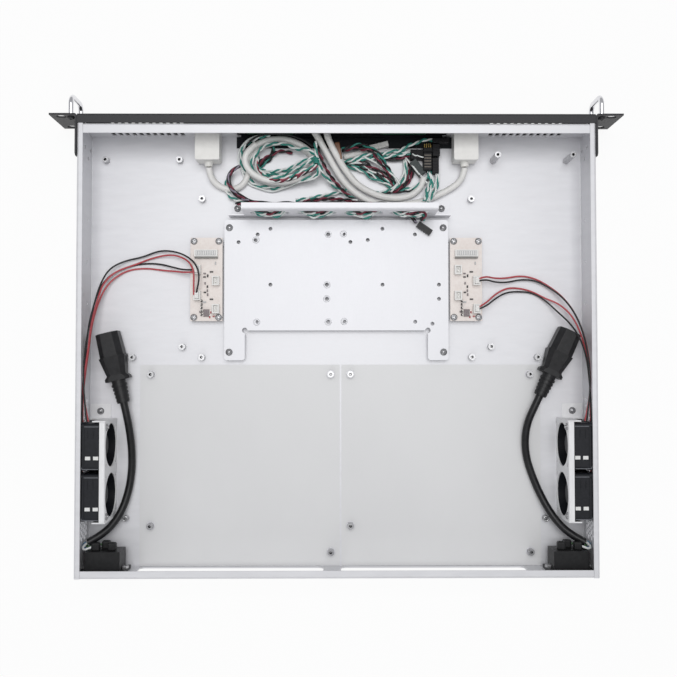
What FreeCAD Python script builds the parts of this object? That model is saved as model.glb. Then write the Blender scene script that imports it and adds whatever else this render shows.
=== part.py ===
import FreeCAD, Part
import math
import os
from FreeCAD import Vector

# An open one-unit rack case for two small computer boards, lid off, in millimetres.
# Origin: middle of the pan's underside. The front faces -Y, +Z is up.

# Rack and case
body_width = 436.0
ear_reach = 23.3
rack_width = body_width + 2 * ear_reach
panel_height = 43.6
body_depth = 380.0
body_height = 42.8
sheet = 1.2
bend_inside = 0.8
side_lip = 5.0
front_lip = 8.4
rear_lip = 6.5
seam = 0.2
overcut = 1.0

# Front panel, ears and handles
panel_depth = 8.0
ear_thickness = 1.5
ear_flange_length = 34.0
ear_flange_bevel = 3.0
rack_slot_from_edge = 8.75
rack_hole_pitch_z = 31.75
rack_slot_length = 8.6
rack_slot_width = 6.8
ear_screw_pitch = 17.4
ear_spare_hole = 3.6
ear_spare_places = ((12.7, 5.0), (4.3, 12.0), (12.7, 20.5))
handle_diameter = 4.4
handle_span = 29.0
handle_reach = 19.4
handle_bend = 7.0
handle_from_ear_edge = 16.5

# Vents and front openings
vent_count = 11
vent_pitch = 6.0
vent_width = 3.7
vent_height = 30.0
vent_bottom = 3.0
vent_from_side = 53.0
bay_opening_width = 184.0
bay_opening_center_x = -4.5
bay_opening_bottom = 2.6
bay_opening_height = 34.0
bay_opening_corner = 3.0

# Side wall holes
rail_hole = 3.2
rail_hole_pitch = 36.4
rail_hole_count = 4
rail_hole_first_y = -113.0
rail_hole_z = 12.0
perforation_across = 3.9
perforation_pitch = 5.0
perforation_row_pitch = 4.33
perforation_columns = 24
perforation_rows = 6

# Board bays
board_pitch = 174.7
board_pair_center_x = -3.2
board_hole_x = 157.48
board_hole_y_long = 154.94
board_hole_y_short = 132.08
board_rear_margin = 13.7
standoff_height = 6.0
standoff_diameter = 5.6
standoff_hole = 2.5
standoff_solid = 2.0
insulator_thickness = 0.4
insulator_width = 175.0
insulator_gap = 1.6
insulator_front_margin = 8.4
insulator_hole_margin = 1.0
io_opening_width = 159.5
io_opening_offset_x = 7.4
io_opening_bottom = 4.3
io_opening_height = 34.0
io_opening_corner = 4.5

# Fans and their brackets
fan_size = 40.0
fan_depth = 20.0
fan_pitch = 42.2
fan_pair_center_y = 102.2
fan_wall_gap = 3.0
fan_corner = 3.0
fan_flange = 3.4
fan_flank_step = 0.5
fan_bore = 38.0
fan_hole_pitch = 32.0
fan_hole = 3.4
fan_arm_width = 2.4
fan_arm_depth = 2.0
fan_arms = 4
fan_arm_bite = 0.5
rotor_diameter = 36.4
rotor_depth = 14.0
rotor_hub = 19.0
rotor_running_gap = 0.4
rotor_blades = 7
blade_thickness = 1.0
blade_root_pitch = 50.0
blade_tip_pitch = 30.0
blade_chord_share = 0.92
blade_camber_share = 0.12
blade_edge_margin = 0.6
rotor_bite = 1.5
blade_tip_margin = 0.8
hub_round = 1.2
shaft_diameter = 3.0
shaft_clearance = 0.06
bracket_sheet = 1.0
bracket_lip = 4.6
bracket_end_gap = 0.5
bracket_hole_margin = 0.5
bracket_end_width = 11.0
foot_length = 12.5
foot_width = 17.6
foot_web_height = 5.0
bracket_bend = 0.3

# Screws
screw_head = 6.0
screw_crown = 3.6
screw_rim = 0.8
screw_dome = 1.2
screw_shank = 2.8
screw_hole = 3.2

# Mains inlets and their line sockets
inlet_width = 30.0
inlet_height = 22.0
inlet_depth = 18.8
inlet_flange_width = 38.0
inlet_flange_height = 26.0
inlet_flange_thickness = 3.0
inlet_wall_margin = 0.3
inlet_center_z = 21.0
inlet_hood_width = 27.6
inlet_hood_height = 19.8
inlet_recess_width = 24.4
inlet_recess_height = 16.6
inlet_recess_depth = 16.0
inlet_recess_chamfer = 4.0
inlet_pin = 4.0
inlet_pin_thickness = 2.0
inlet_pin_spacing = 7.0
inlet_pin_setback = 2.0
inlet_screw_pitch = 34.0
inlet_cutout_clearance = 0.4
plug_nose_width = 19.4
plug_nose_height = 16.0
plug_nose_length = 21.0
plug_nose_draft = 0.6
plug_nose_bevel = 4.6
plug_step = 1.0
plug_edge_round = 0.9
plug_body_length = 21.0
plug_waist_width = 16.6
plug_waist_height = 13.2
plug_waist_bevel = 3.4
plug_collar_width = 21.4
plug_collar_length = 4.8
plug_collar_edge = 2.4
plug_relief_length = 20.0
plug_relief_diameter = 12.0
plug_relief_ribs = 5
plug_rib_height = 0.7
plug_rib_step = 0.25
plug_rib_share = 0.62
plug_cord_wall = 2.0
plug_slot_clearance = 0.6
plug_slot_depth = 12.0
plug_floor_gap = 0.3
left_plug = (199.6, -14.6, 103.7)
right_plug = (-203.3, -16.1, 64.4)
mains_diameter = 6.5
mains_lead_out = 11.0

# Drive tray and cable bar
tray_width = 196.0
tray_depth = 123.0
tray_front_y = -114.0
tray_center_x = 0.4
tray_leg_width = 18.0
tray_leg_length = 26.0
tray_corner = 2.5
tray_screw_inset_x = 4.4
tray_screw_inset_y = 7.0
tray_hole = 3.4
drive_hole_x = 61.72
drive_hole_y = 76.6
drive_near_x = 7.2
drive_row_inset = 12.9
adapter_hole_x = 98.1
adapter_first_x = 57.7
adapter_second_x = 8.3
adapter_row_front = 7.9
adapter_row_middle = 57.0
adapter_row_rear = 69.4
tray_spare_holes = ((70.7, 18.0), (85.6, 19.7), (-12.3, 19.5), (-27.5, 17.7), (-84.0, 91.2))
tray_relief = 2.4
bar_length = 166.0
bar_center_x = -2.5
bar_tray_gap = 3.2
bar_height = 40.0
bar_top_flange = 6.0
bar_oval_count = 4
bar_oval_pitch = 40.0
bar_oval_length = 34.0
bar_oval_height = 18.0
bar_oval_center_z = 25.0
bar_foot_length = 13.0
bar_foot_width = 14.0
bar_foot_rise = 12.0

# Fan power boards
power_board_width = 28.0
power_board_length = 73.0
power_board_thickness = 1.6
power_board_tray_gap = 1.6
power_board_front_margin = 15.8
power_board_screw_inset = 3.2
socket_width = 6.0
socket_length = 8.0
socket_height = 6.0
socket_wall = 1.0
socket_pocket = 3.0
socket_places = ((6.5, 28.5), (6.5, 51.0), (22.6, 38.0), (22.6, 62.5))
comb_margin = 4.0
comb_from_front = 11.0
comb_depth = 6.0
comb_height = 5.0
chip_place = (14.2, 66.0)
chip_size = Vector(5.0, 6.0, 1.4)

# Other standoffs and posts on the floor
post_across_flats = 5.0
post_height = 24.8
post_hole_depth = 17.0
post_column_near = 138.5
post_column_far = 203.5
post_front_margin = 22.4
spare_inner_x = 118.5
spare_middle_x = 135.5
spare_outer_left = 179.0
spare_outer_right = 176.3
spare_front_margin = 19.0
spare_row_margin = 15.0
spare_step = 9.2

# Front controls
usb_width = 21.0
usb_height = 17.0
usb_depth = 24.6
usb_center_x = 112.0
usb_center_z = 13.0
usb_nose_width = 15.0
usb_nose_height = 14.4
usb_socket_width = 12.6
usb_socket_height = 5.2
usb_socket_depth = 10.0
usb_socket_pitch = 7.0
usb_tongue = 1.8
usb_clearance = 0.3
usb_boss_diameter = 8.0
usb_boss_length = 4.0
usb_boss_wall = 0.6
usb_corner = 1.5
usb_cable_drop = 2.0
usb_tongue_setback = 1.5
usb_tongue_margin = 0.8
usb_cable_diameter = 5.4
usb_cable_gap = 0.9
switch_board_width = 40.0
switch_board_height = 24.0
switch_board_center_x = 58.0
switch_board_thickness = 1.6
switch_board_setback = 6.6
switch_center_z = 24.0
switch_body = 6.0
switch_plunger = 3.0
switch_plunger_length = 0.8
spacer_diameter = 4.0
spacer_inset_x = 3.0
spacer_inset_z = 4.0
power_button_diameter = 9.0
power_button_x = -10.0
reset_button_diameter = 4.4
reset_button_x = 4.0
button_proud = 1.4
button_travel = 1.0
button_flange = 1.2
button_flange_thickness = 1.0
button_clearance = 0.3
button_round = 0.5
led_diameter = 3.0
led_xs = (11.0, 16.0)

# Loose leads
coil_section = 15.0
coil_length = 64.0
coil_width = 46.0
coil_center_x = 49.0
coil_center_y = -164.0
hank_length = 66.0
hank_width = 27.0
hank_height = 16.0
hank_center_x = -51.0
hank_center_y = -171.0
hank_round = 6.0
floor_clearance = 0.3
fan_lead_diameter = 2.4
sleeve_diameter = 5.0
lead_end_gap = 0.3
pin_plug_place = (-76.5, -105.9)
pin_plug_heading = -35.0
pin_plug_size = Vector(14.0, 5.4, 5.0)
pin_plug_groove = 0.8
pin_plug_groove_pitch = 2.4

# Planes that many pieces share
half_width = body_width / 2
wall_x = half_width - sheet
front_y = -body_depth / 2
rear_y = body_depth / 2
floor_z = sheet
standoff_top = floor_z + standoff_height
panel_front_y = front_y - panel_depth
ear_back_y = panel_front_y + ear_thickness
flange_end_y = ear_back_y + ear_flange_length
outward = Vector(1, 0, 0)
rearward = Vector(0, 1, 0)
up = Vector(0, 0, 1)
sheet_cut = sheet + 2 * overcut


def box(x0, x1, y0, y1, z0, z1):
    return Part.makeBox(x1 - x0, y1 - y0, z1 - z0, Vector(x0, y0, z0))


def centered_box(center, size):
    corner = center - size * 0.5
    return Part.makeBox(size.x, size.y, size.z, corner)


def rod(start, direction, diameter, length):
    return Part.makeCylinder(diameter / 2, length, start, direction)


def drill(face_point, direction, diameter, thickness):
    """A round cutter that runs a little past both faces of a sheet of this thickness."""
    return rod(face_point - direction * overcut, direction, diameter, thickness + 2 * overcut)


def rounded_outline(points, radii):
    """A closed outline through the points, each corner rounded by its own radius."""
    count = len(points)
    edges = []
    ends = []
    for i in range(count):
        corner = points[i]
        radius = radii[i]
        to_last = (points[i - 1] - corner).normalize()
        to_next = (points[(i + 1) % count] - corner).normalize()
        if radius == 0:
            ends.append((corner, corner))
            continue
        half = to_last.getAngle(to_next) / 2
        reach = radius / math.tan(half)
        arc_start = corner + to_last * reach
        arc_end = corner + to_next * reach
        toward_center = (to_last + to_next).normalize()
        middle = corner + toward_center * (radius / math.sin(half) - radius)
        edges.append(Part.Arc(arc_start, middle, arc_end).toShape())
        ends.append((arc_start, arc_end))
    for i in range(count):
        leave = ends[i][1]
        arrive = ends[(i + 1) % count][0]
        if leave.distanceToPoint(arrive) > 1e-6:
            edges.append(Part.LineSegment(leave, arrive).toShape())
    return Part.Wire(Part.__sortEdges__(edges))


def rounded_plate(points, radius, thickness_vector):
    outline = rounded_outline(points, [radius] * len(points))
    return Part.Face(outline).extrude(thickness_vector)


def rectangle(center, u, v):
    """Corners of a rectangle whose half sides are the vectors u and v."""
    return [center - u - v, center + u - v, center + u + v, center - u + v]


def folded_sheet(outer, inward, thickness, run, bend=bend_inside):
    """A sheet folded along an open path of its outer face, extruded by run.

    inward holds, for each stretch of the path, the unit vector into the metal,
    and bend is the radius inside each fold."""
    last = len(outer) - 1
    inner = []
    for i, point in enumerate(outer):
        shift = Vector(0, 0, 0)
        for normal in {tuple(inward[max(i - 1, 0)]), tuple(inward[min(i, last - 1)])}:
            shift = shift + Vector(*normal) * thickness
        inner.append(point + shift)
    points = outer + inner[::-1]
    radii = [bend + thickness if 0 < i < last else 0 for i in range(len(outer))]
    radii = radii + [bend if 0 < i < last else 0 for i in range(len(outer))]
    return Part.Face(rounded_outline(points, radii)).extrude(run)


def obround(center, long_half, short_half, depth_vector):
    """A slot with round ends, cut along depth_vector through center."""
    u = Vector(long_half).normalize() * (long_half.Length - short_half.Length)
    v = short_half
    a = center - u - v
    b = center + u - v
    c = center + u + v
    d = center - u + v
    cap_right = Part.Arc(b, center + long_half, c).toShape()
    cap_left = Part.Arc(d, center - long_half, a).toShape()
    sides = [Part.LineSegment(a, b).toShape(), Part.LineSegment(c, d).toShape()]
    outline = Part.Wire(Part.__sortEdges__([sides[0], cap_right, sides[1], cap_left]))
    start = outline.translated(depth_vector * -0.5)
    return Part.Face(start).extrude(depth_vector)


def hexagon_prism(center, axis_vector, across_flats):
    """A hexagonal prism along axis_vector, corners up and down."""
    radius = across_flats / math.sqrt(3)
    side = Vector(0, 1, 0) if abs(axis_vector.x) > 0 else Vector(1, 0, 0)
    up = Vector(0, 0, 1) if abs(axis_vector.z) == 0 else Vector(0, 1, 0)
    points = []
    for k in range(6):
        angle = math.radians(60 * k + 90)
        points.append(center + side * (radius * math.cos(angle)) + up * (radius * math.sin(angle)))
    outline = Part.makePolygon(points + [points[0]])
    return Part.Face(outline).extrude(axis_vector)


def cut_all(shape, tools):
    return shape.cut(Part.makeCompound(tools)) if tools else shape


def mirror_x(shape):
    return shape.mirror(Vector(0, 0, 0), Vector(1, 0, 0))


def cord(name, points, diameter):
    """A round cord: straight runs joined by tangent arcs as large as the runs allow."""
    route = [Vector(*point) for point in points]
    edges = []
    radii = []
    start = route[0]
    for before, corner, after in zip(route, route[1:], route[2:]):
        back = before - corner
        ahead = after - corner
        reach = 0.45 * min(back.Length, ahead.Length)
        turn = math.pi - back.getAngle(ahead)
        radius = reach / math.tan(turn / 2)
        back.normalize()
        ahead.normalize()
        bisector = (back + ahead).normalize()
        middle = corner + bisector * (radius / math.cos(turn / 2) - radius)
        arc_start = corner + back * reach
        arc_end = corner + ahead * reach
        edges.append(Part.LineSegment(start, arc_start).toShape())
        edges.append(Part.Arc(arc_start, middle, arc_end).toShape())
        radii.append(radius)
        start = arc_end
    edges.append(Part.LineSegment(start, route[-1]).toShape())
    path = Part.Wire(edges)
    section = Part.Wire(Part.Circle(route[0], route[1] - route[0], diameter / 2).toShape())
    tube = path.makePipeShell([section], True, False)
    expected = math.pi * diameter ** 2 / 4 * path.Length
    print(name, "length", round(path.Length, 1), "tightest radius", round(min(radii), 1),
          "volume share", round(tube.Volume / expected, 3), "valid", tube.isValid())
    return tube


pieces = {}


def keep(name, *solids):
    pieces[name] = solids[0] if len(solids) == 1 else Part.makeCompound(list(solids))


# Base pan: one sheet folded into floor, side walls and turned-in lips

pan_path = [
    Vector(half_width - side_lip, front_y, body_height),
    Vector(half_width, front_y, body_height),
    Vector(half_width, front_y, 0),
    Vector(-half_width, front_y, 0),
    Vector(-half_width, front_y, body_height),
    Vector(-half_width + side_lip, front_y, body_height),
]
pan_inward = [Vector(0, 0, -1), Vector(-1, 0, 0), Vector(0, 0, 1), Vector(1, 0, 0), Vector(0, 0, -1)]
pan = folded_sheet(pan_path, pan_inward, sheet, Vector(0, body_depth, 0))

pan_cuts = []
for side in (1, -1):
    inward = Vector(-side, 0, 0)
    for k in range(rail_hole_count):
        y = rail_hole_first_y + k * rail_hole_pitch
        pan_cuts.append(drill(Vector(side * half_width, y, rail_hole_z), inward, rail_hole, sheet))
    for inset, z in ear_spare_places:
        spot = Vector(side * half_width, flange_end_y - inset, z)
        pan_cuts.append(drill(spot, inward, ear_spare_hole, sheet))
    for row in range(perforation_rows):
        stagger = (row % 2 - 0.5) * perforation_pitch / 2
        z = floor_z + fan_size / 2 + (row - (perforation_rows - 1) / 2) * perforation_row_pitch
        for column in range(perforation_columns):
            offset = (column - (perforation_columns - 1) / 2) * perforation_pitch
            start = Vector(side * (half_width + overcut), fan_pair_center_y + offset + stagger, z)
            pan_cuts.append(hexagon_prism(start, inward * sheet_cut, perforation_across))
pan = cut_all(pan, pan_cuts)
keep("base_pan", pan)

# Front wall: stands on the floor between the side walls, lip turned in at the top

wall_lip_half = half_width - side_lip - seam


def end_wall(outer_y, inward, lip):
    """A wall across the pan at outer_y, with its lip turned towards inward."""
    path = [
        Vector(-wall_lip_half, outer_y, floor_z),
        Vector(-wall_lip_half, outer_y, body_height),
        Vector(-wall_lip_half, outer_y + inward * lip, body_height),
    ]
    run = Vector(2 * wall_lip_half, 0, 0)
    web = folded_sheet(path, [Vector(0, inward, 0), Vector(0, 0, -1)], sheet, run)
    y_near = min(outer_y, outer_y + inward * sheet)
    wing_bottom = floor_z + bend_inside
    wing_top = body_height - sheet - bend_inside
    wings = []
    for side in (1, -1):
        x_near = min(side * wall_lip_half, side * wall_x)
        x_far = max(side * wall_lip_half, side * wall_x)
        wings.append(box(x_near, x_far, y_near, y_near + sheet, wing_bottom, wing_top))
    return web.fuse(wings).removeSplitter()


def vent_slots(y):
    """The upright vent slots on both sides of the front, cut through at y."""
    slots = []
    for side in (1, -1):
        for k in range(vent_count):
            x = side * (half_width - vent_from_side) + (k - (vent_count - 1) / 2) * vent_pitch
            center = Vector(x, y, floor_z + vent_bottom + vent_height / 2)
            slots.append(obround(center, Vector(0, 0, vent_height / 2), Vector(vent_width / 2, 0, 0),
                                 rearward * sheet_cut))
    return slots


def usb_cutouts(y):
    holes = []
    for side in (1, -1):
        size = Vector(usb_nose_width + 2 * usb_clearance, sheet_cut, usb_nose_height + 2 * usb_clearance)
        holes.append(centered_box(Vector(side * usb_center_x, y, usb_center_z), size))
    return holes


wall_middle_y = front_y + sheet / 2
bay_center_z = floor_z + bay_opening_bottom + bay_opening_height / 2
bay_center = Vector(bay_opening_center_x, front_y - overcut, bay_center_z)
bay_corners = rectangle(bay_center, outward * (bay_opening_width / 2), up * (bay_opening_height / 2))
bay_cut = rounded_plate(bay_corners, bay_opening_corner, rearward * sheet_cut)
front_cuts = vent_slots(wall_middle_y) + usb_cutouts(wall_middle_y) + [bay_cut]
keep("front_wall", cut_all(end_wall(front_y, 1, front_lip), front_cuts))

# Rear wall: two board openings and two mains inlet cut-outs

board_centers = [board_pair_center_x + board_pitch / 2, board_pair_center_x - board_pitch / 2]
inlet_x = wall_x - inlet_wall_margin - inlet_flange_width / 2
rear_cuts = []
for board_x in board_centers:
    center = Vector(board_x + io_opening_offset_x, rear_y - sheet - overcut,
                    io_opening_bottom + io_opening_height / 2)
    corners = rectangle(center, Vector(io_opening_width / 2, 0, 0), Vector(0, 0, io_opening_height / 2))
    rear_cuts.append(rounded_plate(corners, io_opening_corner, rearward * sheet_cut))
for side in (1, -1):
    center = Vector(side * inlet_x, rear_y - sheet / 2, inlet_center_z)
    cutout_width = inlet_hood_width + inlet_cutout_clearance
    cutout_height = inlet_hood_height + inlet_cutout_clearance
    rear_cuts.append(centered_box(center, Vector(cutout_width, sheet_cut, cutout_height)))
    for end in (1, -1):
        seat = Vector(side * inlet_x + end * inlet_screw_pitch / 2, rear_y, inlet_center_z)
        rear_cuts.append(drill(seat, rearward * -1, screw_hole, sheet))
keep("rear_wall", cut_all(end_wall(rear_y, -1, rear_lip), rear_cuts))

# Front panel: a shallow channel ahead of the front wall, its ends close beside the ears

panel_half = half_width - seam
channel_path = [
    Vector(-panel_half, front_y, panel_height),
    Vector(-panel_half, panel_front_y, panel_height),
    Vector(-panel_half, panel_front_y, 0),
    Vector(-panel_half, front_y, 0),
]
channel_inward = [Vector(0, 0, -1), Vector(0, 1, 0), Vector(0, 0, 1)]
panel = folded_sheet(channel_path, channel_inward, sheet, Vector(2 * panel_half, 0, 0))

panel_middle_y = panel_front_y + sheet / 2
panel_cuts = vent_slots(panel_middle_y) + usb_cutouts(panel_middle_y)
for side in (1, -1):
    board_x = side * switch_board_center_x
    holes = [(power_button_x, power_button_diameter), (reset_button_x, reset_button_diameter)]
    holes = [(x, diameter + 2 * button_clearance) for x, diameter in holes]
    holes = holes + [(x, led_diameter) for x in led_xs]
    for x, diameter in holes:
        face_point = Vector(board_x + x, panel_front_y, switch_center_z)
        panel_cuts.append(drill(face_point, rearward, diameter, sheet))
keep("front_panel", cut_all(panel, panel_cuts))

# Rack ears: angle brackets, face level with the panel, flange screwed to the side wall

ear_edge = rack_width / 2
ear_screw_zs = (panel_height / 2 - ear_screw_pitch / 2, panel_height / 2 + ear_screw_pitch / 2)
ear_screw_y = flange_end_y - ear_flange_bevel - screw_head
handle_x = ear_edge - handle_from_ear_edge
handle_zs = (panel_height / 2 - handle_span / 2, panel_height / 2 + handle_span / 2)

ear_path = [
    Vector(ear_edge, panel_front_y, 0),
    Vector(half_width, panel_front_y, 0),
    Vector(half_width, flange_end_y, 0),
]
ear = folded_sheet(ear_path, [Vector(0, 1, 0), Vector(1, 0, 0)], ear_thickness, Vector(0, 0, panel_height))
for z, way in ((0, 1), (panel_height, -1)):
    corner = [
        Vector(half_width - overcut, flange_end_y + overcut, z - way * overcut),
        Vector(half_width - overcut, flange_end_y - ear_flange_bevel, z - way * overcut),
        Vector(half_width - overcut, flange_end_y + overcut, z + way * ear_flange_bevel),
    ]
    wedge = Part.Face(Part.makePolygon(corner + [corner[0]]))
    ear = ear.cut(wedge.extrude(Vector(ear_thickness + 2 * overcut, 0, 0)))
ear_cuts = []
for way in (1, -1):
    center = Vector(ear_edge - rack_slot_from_edge, panel_front_y + ear_thickness / 2,
                    panel_height / 2 + way * rack_hole_pitch_z / 2)
    ear_cuts.append(obround(center, Vector(rack_slot_length / 2, 0, 0), Vector(0, 0, rack_slot_width / 2),
                            Vector(0, ear_thickness + 2 * overcut, 0)))
for z in ear_screw_zs:
    ear_cuts.append(drill(Vector(half_width, ear_screw_y, z), outward, screw_hole, ear_thickness))
for z in handle_zs:
    ear_cuts.append(drill(Vector(handle_x, panel_front_y, z), rearward, screw_hole, ear_thickness))
ear = cut_all(ear, ear_cuts)
keep("ear_left", ear)
keep("ear_right", mirror_x(ear))

# Bow handles: round bar bent to a U, its legs standing on the ears

bow_y = panel_front_y - handle_reach + handle_diameter / 2
low_z, high_z = handle_zs
slant = handle_bend * (1 - math.sqrt(0.5))
leg_low = Vector(handle_x, panel_front_y, low_z)
bend_low = [
    Vector(handle_x, bow_y + handle_bend, low_z),
    Vector(handle_x, bow_y + slant, low_z + slant),
    Vector(handle_x, bow_y, low_z + handle_bend),
]
bend_high = [
    Vector(handle_x, bow_y, high_z - handle_bend),
    Vector(handle_x, bow_y + slant, high_z - slant),
    Vector(handle_x, bow_y + handle_bend, high_z),
]
leg_high = Vector(handle_x, panel_front_y, high_z)
bow = Part.Wire([
    Part.LineSegment(leg_low, bend_low[0]).toShape(),
    Part.Arc(*bend_low).toShape(),
    Part.LineSegment(bend_low[2], bend_high[0]).toShape(),
    Part.Arc(*bend_high).toShape(),
    Part.LineSegment(bend_high[2], leg_high).toShape(),
])
bar_section = Part.Wire(Part.Circle(leg_low, Vector(0, -1, 0), handle_diameter / 2).toShape())
handle = bow.makePipeShell([bar_section], True, False)
keep("handle_left", handle)
keep("handle_right", mirror_x(handle))

# Fans: square frame with a round duct, spider and motor seat, and a bladed rotor.
# Built with the duct along +X from the frame's inner face, then set in place.

hub_face_x = fan_depth - fan_arm_depth


def fan_frame():
    half = fan_size / 2
    flange_corners = rectangle(Vector(0, 0, 0), Vector(0, half, 0), Vector(0, 0, half))
    near = rounded_plate(flange_corners, fan_corner, Vector(fan_flange, 0, 0))
    far = near.translated(Vector(fan_depth - fan_flange, 0, 0))
    inset = half - fan_flank_step
    flank_corners = rectangle(Vector(0, 0, 0), Vector(0, inset, 0), Vector(0, 0, inset))
    waist = rounded_plate(flank_corners, fan_corner - fan_flank_step, Vector(fan_depth, 0, 0))
    shell = near.fuse([far, waist]).cut(drill(Vector(0, 0, 0), outward, fan_bore, fan_depth))
    seat = rod(Vector(hub_face_x, 0, 0), Vector(1, 0, 0), rotor_hub, fan_arm_depth)
    arms = []
    for k in range(fan_arms):
        arm = box(hub_face_x, fan_depth, -fan_arm_width / 2, fan_arm_width / 2,
                  0, fan_bore / 2 + fan_arm_bite)
        arm.rotate(Vector(0, 0, 0), Vector(1, 0, 0), 360 * (k + 0.5) / fan_arms)
        arms.append(arm)
    shell = shell.fuse([seat] + arms).removeSplitter()
    cuts = [drill(Vector(hub_face_x, 0, 0), outward, shaft_diameter + 2 * shaft_clearance, fan_arm_depth)]
    for y in (1, -1):
        for z in (1, -1):
            hole = Vector(0, y * fan_hole_pitch / 2, z * fan_hole_pitch / 2)
            cuts.append(drill(hole, outward, fan_hole, fan_depth))
    return cut_all(shell, cuts)


def blade_section(radius, pitch_angle):
    """One blade's cambered section, tangent to its radius at the top of the rotor."""
    chord = blade_chord_share * 2 * math.pi * radius / rotor_blades
    half_x = min(chord * math.sin(pitch_angle) / 2, rotor_depth / 2 - blade_edge_margin)
    half_y = chord * math.cos(pitch_angle) / 2
    camber = blade_camber_share * chord
    middle_x = rotor_depth / 2
    lead = Vector(middle_x - half_x, -half_y, radius)
    crown = Vector(middle_x - camber, 0, radius)
    trail = Vector(middle_x + half_x, half_y, radius)
    thick = Vector(blade_thickness, 0, 0)
    front = Part.Arc(lead, crown, trail).toShape()
    end = Part.LineSegment(trail, trail + thick).toShape()
    back = Part.Arc(trail + thick, crown + thick, lead + thick).toShape()
    start = Part.LineSegment(lead + thick, lead).toShape()
    return Part.Wire([front, end, back, start])


def fan_rotor():
    hub = rod(Vector(0, 0, 0), Vector(1, 0, 0), rotor_hub, rotor_depth)
    rim = [edge for edge in hub.Edges if abs(edge.CenterOfMass.x) < 1e-6 and len(edge.Vertexes) == 1]
    hub = hub.makeFillet(hub_round, rim)
    root = rotor_hub / 2 - rotor_bite
    tip = rotor_diameter / 2 - blade_tip_margin
    root_pitch = math.radians(blade_root_pitch)
    tip_pitch = math.radians(blade_tip_pitch)
    blade = Part.makeLoft([blade_section(root, root_pitch), blade_section(tip, tip_pitch)], True, True)
    blades = []
    for k in range(rotor_blades):
        turned = blade.copy()
        turned.rotate(Vector(0, 0, 0), Vector(1, 0, 0), 360 * k / rotor_blades)
        blades.append(turned)
    shaft = rod(Vector(rotor_depth - rotor_bite, 0, 0), Vector(1, 0, 0), shaft_diameter,
                rotor_running_gap + fan_arm_depth + rotor_bite)
    return hub.fuse(blades + [shaft]).removeSplitter()


fan_inner_x = wall_x - fan_wall_gap - fan_depth
fan_z = floor_z + fan_size / 2
rotor_start_x = hub_face_x - rotor_running_gap - rotor_depth
frame_shape = fan_frame()
rotor_shape = fan_rotor().translated(Vector(rotor_start_x, 0, 0))
fan_ys = {"front": fan_pair_center_y - fan_pitch / 2, "rear": fan_pair_center_y + fan_pitch / 2}
for place, fan_y in fan_ys.items():
    spot = Vector(fan_inner_x, fan_y, fan_z)
    for part_name, shape in (("fan_frame", frame_shape), ("fan_rotor", rotor_shape)):
        left = shape.translated(spot)
        keep(part_name + "_left_" + place, left)
        right = shape.copy()
        right.rotate(Vector(0, 0, 0), Vector(0, 0, 1), 180)
        keep(part_name + "_right_" + place, right.translated(Vector(-spot.x, spot.y, spot.z)))

# Fan brackets: a face with two duct holes, a top lip over the fans, turned ends and a foot on the floor

bracket_x = fan_inner_x - bracket_sheet
bracket_half = (fan_pitch + fan_size) / 2 + bracket_end_gap
bracket_front_y = fan_pair_center_y - bracket_half
bracket_rear_y = fan_pair_center_y + bracket_half
bracket_top = floor_z + fan_size + bracket_bend + bracket_sheet
foot_x = wall_x - bend_inside - seam - foot_width
foot_screw_x = foot_x + foot_width / 2
foot_middle = bracket_sheet + foot_length / 2
fan_screw_ys = (fan_ys["front"] - fan_hole_pitch / 2, fan_ys["rear"] + fan_hole_pitch / 2)
foot_y = bracket_front_y - foot_middle

lip_path = [
    Vector(bracket_x, bracket_front_y, floor_z),
    Vector(bracket_x, bracket_front_y, bracket_top),
    Vector(bracket_x + bracket_lip, bracket_front_y, bracket_top),
]
bracket = folded_sheet(lip_path, [Vector(1, 0, 0), Vector(0, 0, -1)], bracket_sheet,
                       Vector(0, 2 * bracket_half, 0), bracket_bend)
foot_top = floor_z + bracket_sheet
front_end = box(bracket_x, bracket_x + bracket_end_width, bracket_front_y - bracket_sheet, bracket_front_y,
                floor_z, floor_z + fan_size)
rear_end = box(bracket_x, bracket_x + bracket_end_width, bracket_rear_y, bracket_rear_y + bracket_sheet,
               floor_z, floor_z + fan_size)
foot_web = box(bracket_x, foot_x + foot_width, bracket_front_y - bracket_sheet, bracket_front_y,
               floor_z, floor_z + foot_web_height)
foot = box(foot_x, foot_x + foot_width, bracket_front_y - bracket_sheet - foot_length,
           bracket_front_y - bracket_sheet, floor_z, foot_top)
bracket = bracket.fuse([front_end, rear_end, foot_web, foot]).removeSplitter()
bracket_cuts = []
for fan_y in fan_ys.values():
    start = Vector(bracket_x, fan_y, fan_z)
    bracket_cuts.append(drill(start, outward, fan_bore - 2 * bracket_hole_margin, bracket_sheet))
    for y in (1, -1):
        for z in (1, -1):
            hole = start + Vector(0, y * fan_hole_pitch / 2, z * fan_hole_pitch / 2)
            bracket_cuts.append(drill(hole, outward, screw_hole, bracket_sheet))
bracket_cuts.append(drill(Vector(foot_screw_x, foot_y, floor_z), up, screw_hole, bracket_sheet))
bracket = cut_all(bracket, bracket_cuts)
keep("fan_bracket_left", bracket)
keep("fan_bracket_right", mirror_x(bracket))

# Board standoffs, four to a board, and the thin insulating sheets round them

itx_holes = [
    (-board_hole_x / 2, 0),
    (board_hole_x / 2, 0),
    (board_hole_x / 2, board_hole_y_short),
    (-board_hole_x / 2, board_hole_y_long),
]
board_front_row_y = rear_y - board_rear_margin - board_hole_y_long


def standoff(x, y, height):
    post = rod(Vector(x, y, floor_z), Vector(0, 0, 1), standoff_diameter, height)
    return post.cut(rod(Vector(x, y, floor_z + standoff_solid), Vector(0, 0, 1), standoff_hole, height))


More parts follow.
